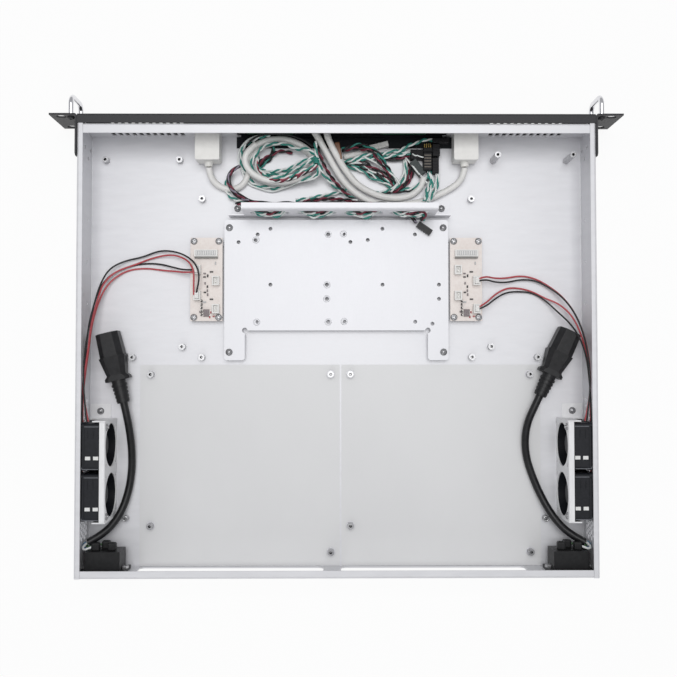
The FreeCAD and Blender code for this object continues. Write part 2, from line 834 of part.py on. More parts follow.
seam_x = board_pair_center_x
insulator_front_y = board_front_row_y - insulator_front_margin
insulator_rear_y = rear_y - sheet - seam
for name, board_x, way in (("left", board_centers[0], 1), ("right", board_centers[1], -1)):
    spots = [(board_x + x, board_front_row_y + y) for x, y in itx_holes]
    keep("board_standoffs_" + name, *[standoff(x, y, standoff_height) for x, y in spots])
    near = seam_x + way * insulator_gap / 2
    far = near + way * insulator_width
    film = box(min(near, far), max(near, far), insulator_front_y, insulator_rear_y,
               floor_z, floor_z + insulator_thickness)
    ring = standoff_diameter + 2 * insulator_hole_margin
    rings = [drill(Vector(x, y, floor_z), up, ring, insulator_thickness) for x, y in spots]
    keep("insulator_" + name, cut_all(film, rings))

# Drive tray: a flat plate on standoffs, with two legs to the rear and holes for two small drives

tray_z = standoff_top
tray_rear_y = tray_front_y + tray_depth
tray_left = tray_center_x + tray_width / 2
tray_right = tray_center_x - tray_width / 2
notch_y = tray_rear_y - tray_leg_length
tray_outline = [
    Vector(tray_right, tray_front_y, tray_z),
    Vector(tray_left, tray_front_y, tray_z),
    Vector(tray_left, tray_rear_y, tray_z),
    Vector(tray_left - tray_leg_width, tray_rear_y, tray_z),
    Vector(tray_left - tray_leg_width, notch_y, tray_z),
    Vector(tray_right + tray_leg_width, notch_y, tray_z),
    Vector(tray_right + tray_leg_width, tray_rear_y, tray_z),
    Vector(tray_right, tray_rear_y, tray_z),
]
tray = Part.Face(rounded_outline(tray_outline, [tray_corner] * 8)).extrude(Vector(0, 0, sheet))
tray_screws = []
for x in (tray_left - tray_screw_inset_x, tray_right + tray_screw_inset_x):
    for y in (tray_front_y + tray_screw_inset_y, tray_rear_y - tray_screw_inset_y):
        tray_screws.append((x, y))
tray_holes = []
for side in (1, -1):
    for column in (drive_near_x, drive_near_x + drive_hole_x):
        for row in (drive_row_inset, drive_row_inset + drive_hole_y):
            tray_holes.append((side * column, row))
for column in (adapter_first_x, adapter_first_x - adapter_hole_x):
    tray_holes += [(column, adapter_row_front), (column, adapter_row_middle)]
for column in (adapter_second_x, adapter_second_x - adapter_hole_x):
    tray_holes += [(column, adapter_row_middle), (column, adapter_row_rear)]
tray_holes = [(tray_center_x + x, tray_front_y + y) for x, y in tray_holes + list(tray_spare_holes)]
tray_cuts = [drill(Vector(x, y, tray_z), up, tray_hole, sheet) for x, y in tray_holes]
tray_cuts += [drill(Vector(x, y, tray_z), up, screw_hole, sheet) for x, y in tray_screws]
for x in (tray_left - tray_leg_width, tray_right + tray_leg_width):
    tray_cuts.append(drill(Vector(x, notch_y, tray_z), up, 2 * tray_relief, sheet))
keep("drive_tray", cut_all(tray, tray_cuts))

# Cable bar: a tall web with oval cut-outs, its top turned forward and its feet on the floor

web_rear_y = tray_front_y - bar_tray_gap
web_front_y = web_rear_y - sheet
bar_left = bar_center_x + bar_length / 2
bar_right = bar_center_x - bar_length / 2
bar_top = floor_z + bar_height
bar_path = [
    Vector(bar_right, web_rear_y, floor_z),
    Vector(bar_right, web_rear_y, bar_top),
    Vector(bar_right, web_rear_y - bar_top_flange, bar_top),
]
bar = folded_sheet(bar_path, [Vector(0, -1, 0), Vector(0, 0, -1)], sheet, Vector(bar_length, 0, 0))
bar_feet = []
bar_screws = []
for edge, way in ((bar_left, 1), (bar_right, -1)):
    tip = edge + way * bar_foot_width
    low_x = min(edge, tip)
    high_x = max(edge, tip)
    bar_feet.append(box(low_x, high_x, web_front_y, web_rear_y, floor_z, floor_z + bar_foot_rise))
    bar_feet.append(box(low_x, high_x, web_front_y - bar_foot_length, web_front_y,
                        floor_z, floor_z + sheet))
    bar_screws.append((edge + way * bar_foot_width / 2, web_front_y - bar_foot_length / 2))
bar = bar.fuse(bar_feet).removeSplitter()
bar_cuts = [drill(Vector(x, y, floor_z), up, screw_hole, sheet) for x, y in bar_screws]
for k in range(bar_oval_count):
    x = bar_center_x + (k - (bar_oval_count - 1) / 2) * bar_oval_pitch
    center = Vector(x, (web_front_y + web_rear_y) / 2, bar_oval_center_z)
    bar_cuts.append(obround(center, Vector(bar_oval_length / 2, 0, 0), Vector(0, 0, bar_oval_height / 2),
                            rearward * sheet_cut))
keep("cable_bar", cut_all(bar, bar_cuts))

# Fan power boards beside the tray, with white sockets, a comb block and a chip on each

board_top = standoff_top + power_board_thickness
power_board_front_y = tray_front_y + power_board_front_margin
power_board_rear_y = power_board_front_y + power_board_length
board_screws = []


def pin_socket(x, y):
    """A box-shaped pin socket, open at the top, standing on a power board."""
    shell = box(x - socket_width / 2, x + socket_width / 2, y - socket_length / 2, y + socket_length / 2,
                board_top, board_top + socket_height)
    half_x = socket_width / 2 - socket_wall
    half_y = socket_length / 2 - socket_wall
    inside = box(x - half_x, x + half_x, y - half_y, y + half_y,
                 board_top + socket_height - socket_pocket, board_top + socket_height + overcut)
    return shell.cut(inside)


for name, way, tray_edge in (("left", 1, tray_left), ("right", -1, tray_right)):
    near = tray_edge + way * power_board_tray_gap
    far = near + way * power_board_width
    low_x = min(near, far)
    high_x = max(near, far)
    spots = []
    for x in (low_x + power_board_screw_inset, high_x - power_board_screw_inset):
        spots.append((x, power_board_front_y + power_board_screw_inset))
        spots.append((x, power_board_rear_y - power_board_screw_inset))
    board_screws += spots
    board = box(low_x, high_x, power_board_front_y, power_board_rear_y, standoff_top, board_top)
    holes = [drill(Vector(x, y, standoff_top), up, screw_hole, power_board_thickness) for x, y in spots]
    keep("power_board_" + name, cut_all(board, holes))

    fittings = [pin_socket(high_x - across, power_board_front_y + along) for across, along in socket_places]
    comb = box(low_x + comb_margin, high_x - comb_margin, power_board_front_y + comb_from_front,
               power_board_front_y + comb_from_front + comb_depth, board_top, board_top + comb_height)
    chip_center = Vector(high_x - chip_place[0], power_board_front_y + chip_place[1],
                         board_top + chip_size.z / 2)
    chip = centered_box(chip_center, chip_size)
    keep("board_sockets_" + name, *(fittings + [comb, chip]))

# Short standoffs under the tray and boards and across the floor, and two tall posts

post_y = front_y + post_front_margin
open_spots = [(post_column_far, post_y), (post_column_near, post_y)]
spare_row_y = board_front_row_y - spare_row_margin
for way, outer_x in ((1, spare_outer_left), (-1, spare_outer_right)):
    open_spots.append((way * spare_inner_x, tray_front_y - spare_front_margin))
    open_spots.append((way * spare_inner_x, spare_row_y))
    open_spots.append((way * spare_middle_x, spare_row_y - spare_step))
    open_spots.append((way * outer_x, spare_row_y))
short_standoffs = [standoff(x, y, standoff_height) for x, y in open_spots]
for x, y in tray_screws + board_screws:
    short_standoffs.append(rod(Vector(x, y, floor_z), Vector(0, 0, 1), standoff_diameter, standoff_height))
keep("floor_standoffs", *short_standoffs)

posts = []
for column in (post_column_near, post_column_far):
    base = Vector(-column, post_y, floor_z)
    post = hexagon_prism(base, Vector(0, 0, post_height), post_across_flats)
    hole_bottom = base + up * (post_height - post_hole_depth)
    posts.append(post.cut(rod(hole_bottom, up, standoff_hole, post_height)))
keep("tall_posts", *posts)

# Pan-head screws: one shape, set on every fastened foot, tray, board, ear and handle


def pan_screw(seat, direction, grip):
    """A domed head on its seat and a shank through the sheet, ending at what lies under it."""
    rim = rod(Vector(0, 0, 0), Vector(0, 0, 1), screw_head, screw_rim)
    dome = Part.makeCone(screw_head / 2, screw_crown / 2, screw_dome, Vector(0, 0, screw_rim))
    shank = rod(Vector(0, 0, 0), Vector(0, 0, -1), screw_shank, grip)
    screw = rim.fuse([dome, shank])
    turn = FreeCAD.Rotation(Vector(0, 0, 1), direction)
    screw.Placement = FreeCAD.Placement(seat, turn)
    return screw


screws = [pan_screw(Vector(x, y, tray_z + sheet), up, sheet) for x, y in tray_screws]
screws += [pan_screw(Vector(x, y, board_top), up, power_board_thickness) for x, y in board_screws]
screws += [pan_screw(Vector(x, y, floor_z + sheet), up, sheet) for x, y in bar_screws]
for side in (1, -1):
    screws.append(pan_screw(Vector(side * foot_screw_x, foot_y, foot_top), up, bracket_sheet))
    for y in fan_screw_ys:
        seat = Vector(side * bracket_x, y, fan_z + fan_hole_pitch / 2)
        screws.append(pan_screw(seat, Vector(-side, 0, 0), bracket_sheet))
    for z in ear_screw_zs:
        seat = Vector(side * (half_width + ear_thickness), ear_screw_y, z)
        screws.append(pan_screw(seat, Vector(side, 0, 0), ear_thickness))
    for z in handle_zs:
        screws.append(pan_screw(Vector(side * handle_x, ear_back_y, z), Vector(0, 1, 0), ear_thickness))
keep("machine_screws", *screws)

# Mains inlets: flanged body inside the rear wall, hood through the cut-out, three blades in the recess

inside_y = rear_y - sheet
inlet_front_y = inside_y - inlet_depth


def inlet():
    """One inlet about x = 0, its recess open to the rear."""
    body = box(-inlet_width / 2, inlet_width / 2, inlet_front_y, inside_y,
               inlet_center_z - inlet_height / 2, inlet_center_z + inlet_height / 2)
    flange = box(-inlet_flange_width / 2, inlet_flange_width / 2,
                 inside_y - inlet_flange_thickness, inside_y,
                 inlet_center_z - inlet_flange_height / 2, inlet_center_z + inlet_flange_height / 2)
    hood = box(-inlet_hood_width / 2, inlet_hood_width / 2, inside_y, rear_y,
               inlet_center_z - inlet_hood_height / 2, inlet_center_z + inlet_hood_height / 2)
    half_w = inlet_recess_width / 2
    half_h = inlet_recess_height / 2
    recess_y = rear_y - inlet_recess_depth
    mouth = [
        Vector(-half_w, recess_y, inlet_center_z - half_h),
        Vector(half_w, recess_y, inlet_center_z - half_h),
        Vector(half_w, recess_y, inlet_center_z + half_h - inlet_recess_chamfer),
        Vector(half_w - inlet_recess_chamfer, recess_y, inlet_center_z + half_h),
        Vector(-half_w + inlet_recess_chamfer, recess_y, inlet_center_z + half_h),
        Vector(-half_w, recess_y, inlet_center_z + half_h - inlet_recess_chamfer),
    ]
    recess = Part.Face(Part.makePolygon(mouth + [mouth[0]]))
    recess = recess.extrude(rearward * (inlet_recess_depth + overcut))
    shell = body.fuse([flange, hood]).removeSplitter().cut(recess)
    blades = []
    for x, z in ((-inlet_pin_spacing, -1), (inlet_pin_spacing, -1), (0, 1)):
        blade_length = inlet_recess_depth - inlet_pin_setback
        center = Vector(x, recess_y + blade_length / 2, inlet_center_z + z * inlet_pin_thickness)
        blades.append(centered_box(center, Vector(inlet_pin_thickness, blade_length, inlet_pin)))
    shell = shell.fuse(blades).removeSplitter()
    holes = [drill(Vector(end * inlet_screw_pitch / 2, inside_y, inlet_center_z), rearward * -1,
                   screw_hole, inlet_flange_thickness) for end in (1, -1)]
    return cut_all(shell, holes)


inlet_shape = inlet()
keep("inlet_left", inlet_shape.translated(Vector(inlet_x, 0, 0)))
keep("inlet_right", inlet_shape.translated(Vector(-inlet_x, 0, 0)))
inlet_screws = []
for side in (1, -1):
    for end in (1, -1):
        seat = Vector(side * inlet_x + end * inlet_screw_pitch / 2, rear_y, inlet_center_z)
        inlet_screws.append(pan_screw(seat, Vector(0, 1, 0), sheet + inlet_flange_thickness))
keep("inlet_screws", *inlet_screws)

# Line sockets on the mains pigtails: nose with three slots, stepped body, collar and ribbed strain relief

plug_length = plug_nose_length + plug_body_length + plug_relief_length
plug_root_width = plug_nose_width + 2 * plug_nose_draft
plug_root_height = plug_nose_height + 2 * plug_nose_draft
plug_body_width = plug_root_width + 2 * plug_step
plug_body_height = plug_root_height + 2 * plug_step
plug_z = floor_z + plug_floor_gap + plug_body_height / 2


def plug_section(x, width, height, bevel):
    """One section across the socket, with its two upper corners bevelled."""
    half_y = width / 2
    half_z = height / 2
    places = ((-half_y, -half_z), (half_y, -half_z), (half_y, half_z - bevel), (half_y - bevel, half_z),
              (bevel - half_y, half_z), (-half_y, half_z - bevel))
    return rounded_outline([Vector(x, y, z) for y, z in places], [plug_edge_round] * len(places))


def line_socket():
    """One socket along +X, its mouth at the origin. Its place is given by mouth X, mouth Y and heading."""
    nose = Part.makeLoft([
        plug_section(0, plug_nose_width, plug_nose_height, plug_nose_bevel),
        plug_section(plug_nose_length, plug_root_width, plug_root_height, plug_nose_bevel),
    ], True, True)
    body_end = plug_nose_length + plug_body_length
    waist_x = body_end - plug_collar_length
    body = Part.makeLoft([
        plug_section(plug_nose_length, plug_body_width, plug_body_height, plug_nose_bevel),
        plug_section(waist_x, plug_waist_width, plug_waist_height, plug_waist_bevel),
        plug_section(body_end - plug_collar_edge, plug_collar_width, plug_waist_height, plug_waist_bevel),
        plug_section(body_end, plug_collar_width, plug_waist_height, plug_waist_bevel),
    ], True, True)
    rib_pitch = plug_relief_length / (plug_relief_ribs + 1)
    core = Part.makeCone(plug_relief_diameter / 2, mains_diameter / 2 + plug_cord_wall, plug_relief_length,
                         Vector(body_end, 0, 0), Vector(1, 0, 0))
    ribs = []
    for k in range(plug_relief_ribs):
        x = body_end + rib_pitch * (k + 1)
        radius = plug_relief_diameter / 2 + plug_rib_height - plug_rib_step * k
        ribs.append(rod(Vector(x, 0, 0), Vector(1, 0, 0), 2 * radius, rib_pitch * plug_rib_share))
    solid = nose.fuse([body, core] + ribs).removeSplitter()
    slot_size = Vector(plug_slot_depth + 2 * overcut, inlet_pin_thickness + plug_slot_clearance,
                       inlet_pin + plug_slot_clearance)
    slots = []
    for y, z in ((-inlet_pin_spacing, -1), (inlet_pin_spacing, -1), (0, 1)):
        center = Vector(plug_slot_depth / 2 - overcut, y, z * inlet_pin_thickness)
        slots.append(centered_box(center, slot_size))
    return cut_all(solid, slots)


socket_shape = line_socket()
plug_places = {"left": left_plug, "right": right_plug}
plug_tails = {}
for name, (x, y, heading) in plug_places.items():
    mouth = Vector(x, y, plug_z)
    turn = FreeCAD.Rotation(Vector(0, 0, 1), heading)
    shape = socket_shape.copy()
    shape.Placement = FreeCAD.Placement(mouth, turn)
    keep("line_socket_" + name, shape)
    plug_tails[name] = mouth + turn.multVec(Vector(plug_length, 0, 0))

# Mains cords, from the strain reliefs to the inner faces of the inlets

cord_end_y = inlet_front_y - mains_diameter / 2
lead_out = {}
for name, (x, y, heading) in plug_places.items():
    axis = FreeCAD.Rotation(Vector(0, 0, 1), heading).multVec(Vector(1, 0, 0))
    lead_out[name] = [plug_tails[name], plug_tails[name] + axis * mains_lead_out]
keep("mains_cord_left", cord("mains_cord_left", lead_out["left"] + [
    (180, 70, 9.5), (178.5, 86, 7), (178.5, 103, 5), (180, 120, 5.5), (183.5, 136, 8.5),
    (189, 149, 13), (197, 159.5, 17), (206, cord_end_y, 19)], mains_diameter))
keep("mains_cord_right", cord("mains_cord_right", lead_out["right"] + [
    (-166, 63, 9.5), (-164, 78, 7), (-165.5, 94, 5), (-170.5, 110, 5.5), (-176.5, 125, 7),
    (-182.5, 138.5, 10), (-189, 150.5, 14), (-197.5, 160.5, 17.5), (-206, cord_end_y, 19)], mains_diameter))

# Front port blocks: a nose with two sockets through wall and panel, a boss for the cable behind

usb_rear_y = front_y + sheet + usb_depth
usb_cable_z = usb_center_z - usb_cable_drop


def usb_block():
    """One block about x = 0."""
    wall_y = front_y + sheet
    body = box(-usb_width / 2, usb_width / 2, wall_y, usb_rear_y,
               usb_center_z - usb_height / 2, usb_center_z + usb_height / 2)
    upright = [edge for edge in body.Edges if edge.BoundBox.ZLength > usb_height / 2
               and edge.BoundBox.YMin > wall_y + usb_depth / 2]
    body = body.makeFillet(usb_corner, upright)
    nose = box(-usb_nose_width / 2, usb_nose_width / 2, panel_front_y, wall_y,
               usb_center_z - usb_nose_height / 2, usb_center_z + usb_nose_height / 2)
    boss = Part.makeCone(usb_boss_diameter / 2, usb_cable_diameter / 2 + usb_boss_wall, usb_boss_length,
                         Vector(0, usb_rear_y, usb_cable_z), Vector(0, 1, 0))
    solid = body.fuse([nose, boss]).removeSplitter()
    for way in (1, -1):
        z = usb_center_z + way * usb_socket_pitch / 2
        middle = Vector(0, panel_front_y + usb_socket_depth / 2 - overcut, z)
        cavity_size = Vector(usb_socket_width, usb_socket_depth + 2 * overcut, usb_socket_height)
        solid = solid.cut(centered_box(middle, cavity_size))
        tongue_length = usb_socket_depth - usb_tongue_setback
        tongue_middle = Vector(0, panel_front_y + usb_socket_depth - tongue_length / 2, z + usb_tongue / 2)
        tongue_width = usb_socket_width - 2 * usb_tongue_margin
        tongue = centered_box(tongue_middle, Vector(tongue_width, tongue_length, usb_tongue))
        solid = solid.fuse(tongue)
    return solid.removeSplitter()


usb_shape = usb_block()
keep("usb_block_left", usb_shape.translated(Vector(usb_center_x, 0, 0)))
keep("usb_block_right", usb_shape.translated(Vector(-usb_center_x, 0, 0)))

# Switch boards behind the panel: board, two switch bodies and two spacers each, in one piece

switch_front_y = panel_front_y + sheet + switch_board_setback
button_back_y = panel_front_y + sheet + button_clearance + button_flange_thickness
for name, side in (("left", 1), ("right", -1)):
    board_x = side * switch_board_center_x
    board = box(board_x - switch_board_width / 2, board_x + switch_board_width / 2,
                switch_front_y, switch_front_y + switch_board_thickness,
                switch_center_z - switch_board_height / 2, switch_center_z + switch_board_height / 2)
    extras = []
    for x in (power_button_x, reset_button_x):
        depth = switch_front_y - button_back_y - button_travel - button_clearance
        body = depth - switch_plunger_length
        center = Vector(board_x + x, switch_front_y - body / 2, switch_center_z)
        extras.append(centered_box(center, Vector(switch_body, body, switch_body)))
        foot = Vector(board_x + x, switch_front_y, switch_center_z)
        extras.append(rod(foot, Vector(0, -1, 0), switch_plunger, depth))
    for end in (1, -1):
        x = board_x + end * (switch_board_width / 2 - spacer_inset_x)
        z = switch_center_z - switch_board_height / 2 + spacer_inset_z
        spacer = Vector(x, panel_front_y + sheet, z)
        extras.append(rod(spacer, Vector(0, 1, 0), spacer_diameter, switch_board_setback))
    keep("switch_board_" + name, board.fuse(extras).removeSplitter())

    for button, x, diameter in (("power_button_", power_button_x, power_button_diameter),
                                ("reset_button_", reset_button_x, reset_button_diameter)):
        nose = Vector(board_x + x, panel_front_y - button_proud, switch_center_z)
        cap = rod(nose, Vector(0, 1, 0), diameter, button_back_y - nose.y)
        brim = [edge for edge in cap.Edges if abs(edge.CenterOfMass.y - nose.y) < 1e-6]
        cap = cap.makeChamfer(button_round, brim)
        flange = rod(Vector(nose.x, button_back_y - button_flange_thickness, nose.z), Vector(0, 1, 0),
                     diameter + 2 * button_flange, button_flange_thickness)
        keep(button + name, cap.fuse(flange).removeSplitter())

# LED lenses: domed, through the panel to the switch boards

lenses = []
for side in (1, -1):
    for x in led_xs:
        center_x = side * switch_board_center_x + x
        base = Vector(center_x, switch_front_y, switch_center_z)
        stem = rod(base, Vector(0, -1, 0), led_diameter, switch_front_y - panel_front_y)
        dome = Part.makeSphere(led_diameter / 2, Vector(center_x, panel_front_y, switch_center_z))
        lenses.append(stem.fuse(dome).removeSplitter())
keep("led_lenses", *lenses)

# Cable coil behind the front wall: one oval ring of the wound cable's outer shape

coil_z = floor_z + floor_clearance + coil_section / 2
turn_radius = (coil_width - coil_section) / 2
straight_half = (coil_length - coil_section) / 2 - turn_radius
east = Vector(coil_center_x + straight_half, coil_center_y, coil_z)
west = Vector(coil_center_x - straight_half, coil_center_y, coil_z)
across = Vector(0, turn_radius, 0)
along = Vector(turn_radius, 0, 0)
ring = Part.Wire([
    Part.LineSegment(west - across, east - across).toShape(),
    Part.Arc(east - across, east + along, east + across).toShape(),
    Part.LineSegment(east + across, west + across).toShape(),
    Part.Arc(west + across, west - along, west - across).toShape(),
])
ring_section = Part.Wire(Part.Circle(west - across, Vector(1, 0, 0), coil_section / 2).toShape())
keep("lead_coil", ring.makePipeShell([ring_section], True, False))

# Loose hank of thin leads beside it, as one rounded solid

hank_base = Vector(hank_center_x, hank_center_y, floor_z + floor_clearance)
hank = obround(hank_base + Vector(0, 0, hank_height / 2), Vector(hank_length / 2, 0, 0),
               Vector(0, hank_width / 2, 0), Vector(0, 0, hank_height))
hank = hank.makeFillet(hank_round, hank.Edges)
keep("lead_hank", hank)

# White port cables, sleeved leads along the cable bar and the pin plug at their end

cable_start_y = usb_rear_y + usb_boss_length + usb_cable_gap
keep("usb_cable_left", cord("usb_cable_left", [
    (usb_center_x, cable_start_y, usb_cable_z), (111, -152.5, 9.3), (106.5, -146, 6.5), (99, -142, 4.7),
    (90, -141, 4.4), (82, -144, 5.5), (77.5, -149, 7)], usb_cable_diameter))
keep("usb_cable_right", cord("usb_cable_right", [
    (-usb_center_x, cable_start_y, usb_cable_z), (-111, -152.5, 9.3), (-106.5, -146.3, 6.8),
    (-98.5, -141, 5.6), (-87.5, -135.5, 5.2), (-74, -130.3, 5), (-57, -127.3, 5), (-41, -127.5, 5.5),
    (-27, -131.5, 6.5), (-14, -138.8, 7.5), (-4.5, -147.5, 9), (3.5, -157, 10.5), (9.5, -166.5, 11.5),
    (13.5, -173.5, 11.7)],
    usb_cable_diameter))
keep("usb_tail", cord("usb_tail", [
    (29, -166, 19.6), (17.5, -173.5, 19.6), (5.5, -172.5, 18), (-3.5, -163.5, 14.5), (-10, -152, 10.5),
    (-20, -142.5, 7.5), (-34, -136.5, 6), (-49, -135, 5.2), (-62, -139, 5), (-71, -146.5, 6),
    (-74.5, -156, 8.3)], usb_cable_diameter))
keep("sleeved_leads", cord("sleeved_leads", [
    (80, -168, 15), (90, -164, 16), (96.5, -155, 15), (98, -143, 14), (92.5, -132.5, 14), (81, -127.5, 16),
    (62, -126.5, 18), (34, -127.5, 18.5), (6, -126.5, 19), (-20, -127.5, 20), (-40, -127, 21.5),
    (-54, -122.5, 23), (-62.5, -116.5, 20.5), (-69, -111, 13.2)], sleeve_diameter))

plug_box = centered_box(Vector(0, 0, 0), pin_plug_size)
groove_size = Vector(pin_plug_groove, pin_plug_groove, pin_plug_size.z + 2 * overcut)
grooves = []
for k in (-2, -1, 0, 1):
    grooves.append(centered_box(Vector(pin_plug_groove_pitch * k, pin_plug_size.y / 2, 0), groove_size))
plug_box = cut_all(plug_box, grooves)
plug_seat = Vector(*pin_plug_place, tray_z + sheet + pin_plug_size.z / 2)
plug_box.Placement = FreeCAD.Placement(plug_seat, FreeCAD.Rotation(up, pin_plug_heading))
keep("pin_plug", plug_box)

# Fan leads: two a side, from the power board sockets along the side wall up to the fans

fan_front_y = fan_ys["front"] - fan_size / 2
wire_x = wall_x - lead_end_gap - fan_lead_diameter / 2
keep("fan_lead_left_front", cord("fan_lead_left_front", [
    (121.5, -48, 16.4), (119.5, -56, 17.6), (119.5, -65, 18), (122.5, -74.5, 16.5), (131, -82, 12),
    (142.5, -86.5, 7), (156, -87.5, 4.7), (171, -83.5, 4.7), (186, -78.5, 5.5), (199, -71.5, 8.5),
    (207, -58.5, 13), (211, -42, 18.5), (213.3, -24, 24), (213.6, -6, 29), (213.5, 12, 33),
    (213, 30, 35), (211.5, 46, 35.5), (210, fan_front_y - lead_end_gap, 35.4)], fan_lead_diameter))
keep("fan_lead_left_rear", cord("fan_lead_left_rear", [
    (125.2, -69.7, 12), (132.5, -69.5, 11), (142, -72, 7), (154, -75, 3.7), (168, -74, 3), (184, -71.5, 3),
    (198, -66, 5.5), (206, -55, 9), (210, -39, 13.5), (213, -21, 18.5), (213.7, -3, 23), (213.7, 15, 27.5),
    (214.4, 33, 30.5), (wire_x, 50, 31), (wire_x - 0.2, 67, 31), (wire_x, 84, 31.3),
    (wire_x - 0.1, 101, 31), (wire_x, 112, 31)], fan_lead_diameter))
keep("fan_lead_right_front", cord("fan_lead_right_front", [
    (-122, -60.2, 16.4), (-129, -62, 15.5), (-137.5, -59.5, 10.5), (-149, -59, 6), (-162, -62, 4.5),
    (-175, -61, 4.7), (-188, -54, 6), (-199, -44, 11), (-206.5, -30, 18.5), (-211, -13, 26),
    (-212.7, 4, 31.5), (-213.5, 21, 34.8), (-213, 36, 35.5), (-211.5, 49, 35.5),
    (-210, fan_front_y - lead_end_gap, 35.4)], fan_lead_diameter))
keep("fan_lead_right_rear", cord("fan_lead_right_rear", [
    (-122, -35.2, 16.4), (-129, -37, 16.2), (-137.5, -43, 11), (-148.5, -49, 5.5), (-161, -50, 3.5),
    (-173.5, -47, 3), (-184, -40, 5), (-193, -32, 10), (-202, -23, 16.5), (-209, -10, 22.5),
    (-213, 7, 27), (-214.3, 26, 30), (-wire_x + 0.3, 44, 31), (-wire_x, 61, 31.4),
    (-wire_x + 0.2, 78, 31), (-wire_x, 95, 31.3), (-wire_x + 0.1, 112, 31)], fan_lead_diameter))

os.makedirs("parts", exist_ok=True)
for name, shape in pieces.items():
    shape.exportStep("parts/" + name + ".step")
print(len(pieces), "pieces written")
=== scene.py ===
import math
import random

import bmesh
import bpy
from mathutils import Euler, Matrix, Vector


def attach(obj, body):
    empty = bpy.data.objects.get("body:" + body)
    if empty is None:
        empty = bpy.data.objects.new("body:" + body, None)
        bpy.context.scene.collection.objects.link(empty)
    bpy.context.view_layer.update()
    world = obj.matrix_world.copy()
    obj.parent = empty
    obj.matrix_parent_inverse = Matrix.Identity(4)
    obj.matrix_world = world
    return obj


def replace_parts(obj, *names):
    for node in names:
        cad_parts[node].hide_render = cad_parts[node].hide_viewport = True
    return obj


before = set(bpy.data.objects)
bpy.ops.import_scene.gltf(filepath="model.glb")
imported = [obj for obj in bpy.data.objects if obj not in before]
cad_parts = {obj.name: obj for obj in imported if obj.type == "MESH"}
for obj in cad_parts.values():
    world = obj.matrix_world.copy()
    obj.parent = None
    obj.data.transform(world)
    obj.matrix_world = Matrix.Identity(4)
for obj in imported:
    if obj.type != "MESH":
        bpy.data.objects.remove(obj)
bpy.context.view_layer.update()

# The studio round the open case: a roll of pale paper as the floor in an evenly lit room.
# A broad soft lamp hangs overhead and a weaker one stands behind the case.
# The camera hangs 0.76 m above the floor and looks straight down, with the front of the case at the top.

scene = bpy.context.scene
scene.view_settings.view_transform = "Standard"

floor_side = 6.0
floor_gap = 0.0005
floor_tone = (0.86, 0.86, 0.86, 1)
floor_glow = 0.92
room_tone = (0.97, 0.98, 1.0, 1)
room_strength = 0.46
bpy.ops.mesh.primitive_plane_add(size=floor_side, location=(0, 0, -floor_gap))
studio_floor = bpy.context.object
studio_floor.name = "studio_floor"

paper = bpy.data.materials.new("studio_paper")
paper.use_nodes = True
paper_nodes = paper.node_tree.nodes
paper_links = paper.node_tree.links
paper_nodes.clear()
paper_out = paper_nodes.new("ShaderNodeOutputMaterial")
paper_mix = paper_nodes.new("ShaderNodeMixShader")
paper_matt = paper_nodes.new("ShaderNodeBsdfDiffuse")
paper_matt.inputs["Color"].default_value = floor_tone
paper_white = paper_nodes.new("ShaderNodeEmission")
paper_ray = paper_nodes.new("ShaderNodeLightPath")
paper_seen = paper_ray.outputs["Is Camera Ray"]
for other_ray in ("Is Glossy Ray", "Is Transmission Ray"):
    paper_sum = paper_nodes.new("ShaderNodeMath")
    paper_sum.operation = "ADD"
    paper_sum.use_clamp = True
    paper_links.new(paper_seen, paper_sum.inputs[0])
    paper_links.new(paper_ray.outputs[other_ray], paper_sum.inputs[1])
    paper_seen = paper_sum.outputs[0]
paper_share = paper_nodes.new("ShaderNodeMath")
paper_share.operation = "MULTIPLY"
paper_share.inputs[1].default_value = floor_glow
paper_links.new(paper_seen, paper_share.inputs[0])
paper_links.new(paper_share.outputs[0], paper_mix.inputs["Fac"])
paper_links.new(paper_matt.outputs[0], paper_mix.inputs[1])
paper_links.new(paper_white.outputs[0], paper_mix.inputs[2])
paper_links.new(paper_mix.outputs[0], paper_out.inputs["Surface"])
studio_floor.data.materials.append(paper)

room = bpy.data.worlds.new("studio_room")
room.use_nodes = True
room.node_tree.nodes["Background"].inputs["Color"].default_value = room_tone
room.node_tree.nodes["Background"].inputs["Strength"].default_value = room_strength
scene.world = room

for lamp_name, lamp_place, lamp_width, lamp_power in (
        ("lamp_overhead", (0.0, -0.30, 1.5), 0.9, 10.4),
        ("lamp_rear", (0.3, 1.3, 1.2), 0.9, 2.0)):
    lamp_data = bpy.data.lights.new(lamp_name, "AREA")
    lamp_data.size = lamp_width
    lamp_data.energy = lamp_power
    lamp = bpy.data.objects.new(lamp_name, lamp_data)
    lamp.location = lamp_place
    lamp.rotation_euler = (-Vector(lamp_place)).to_track_quat("-Z", "Y").to_euler()
    scene.collection.objects.link(lamp)

camera_data = bpy.data.cameras.new("photo_camera")
camera_data.lens = 45.90
camera_data.sensor_width = 36.0
camera_data.sensor_fit = "HORIZONTAL"
camera = bpy.data.objects.new("photo_camera", camera_data)
camera.location = (0.003867, 0.011882, 0.761995)
camera.rotation_euler = Euler([math.radians(a) for a in (1.6561, -0.3999, 179.954)], "XYZ")
scene.collection.objects.link(camera)
scene.camera = camera

# The pan and its two end walls: zinc-coated steel sheet, punched, folded and riveted, with turned-in lips.
# The coating is pale and satin, with a faint drawn grain along the rolling direction and small cloudy patches.

tone_span = (0.3, 0.7)
relief_height = 0.0004
cloud_detail = 5.0


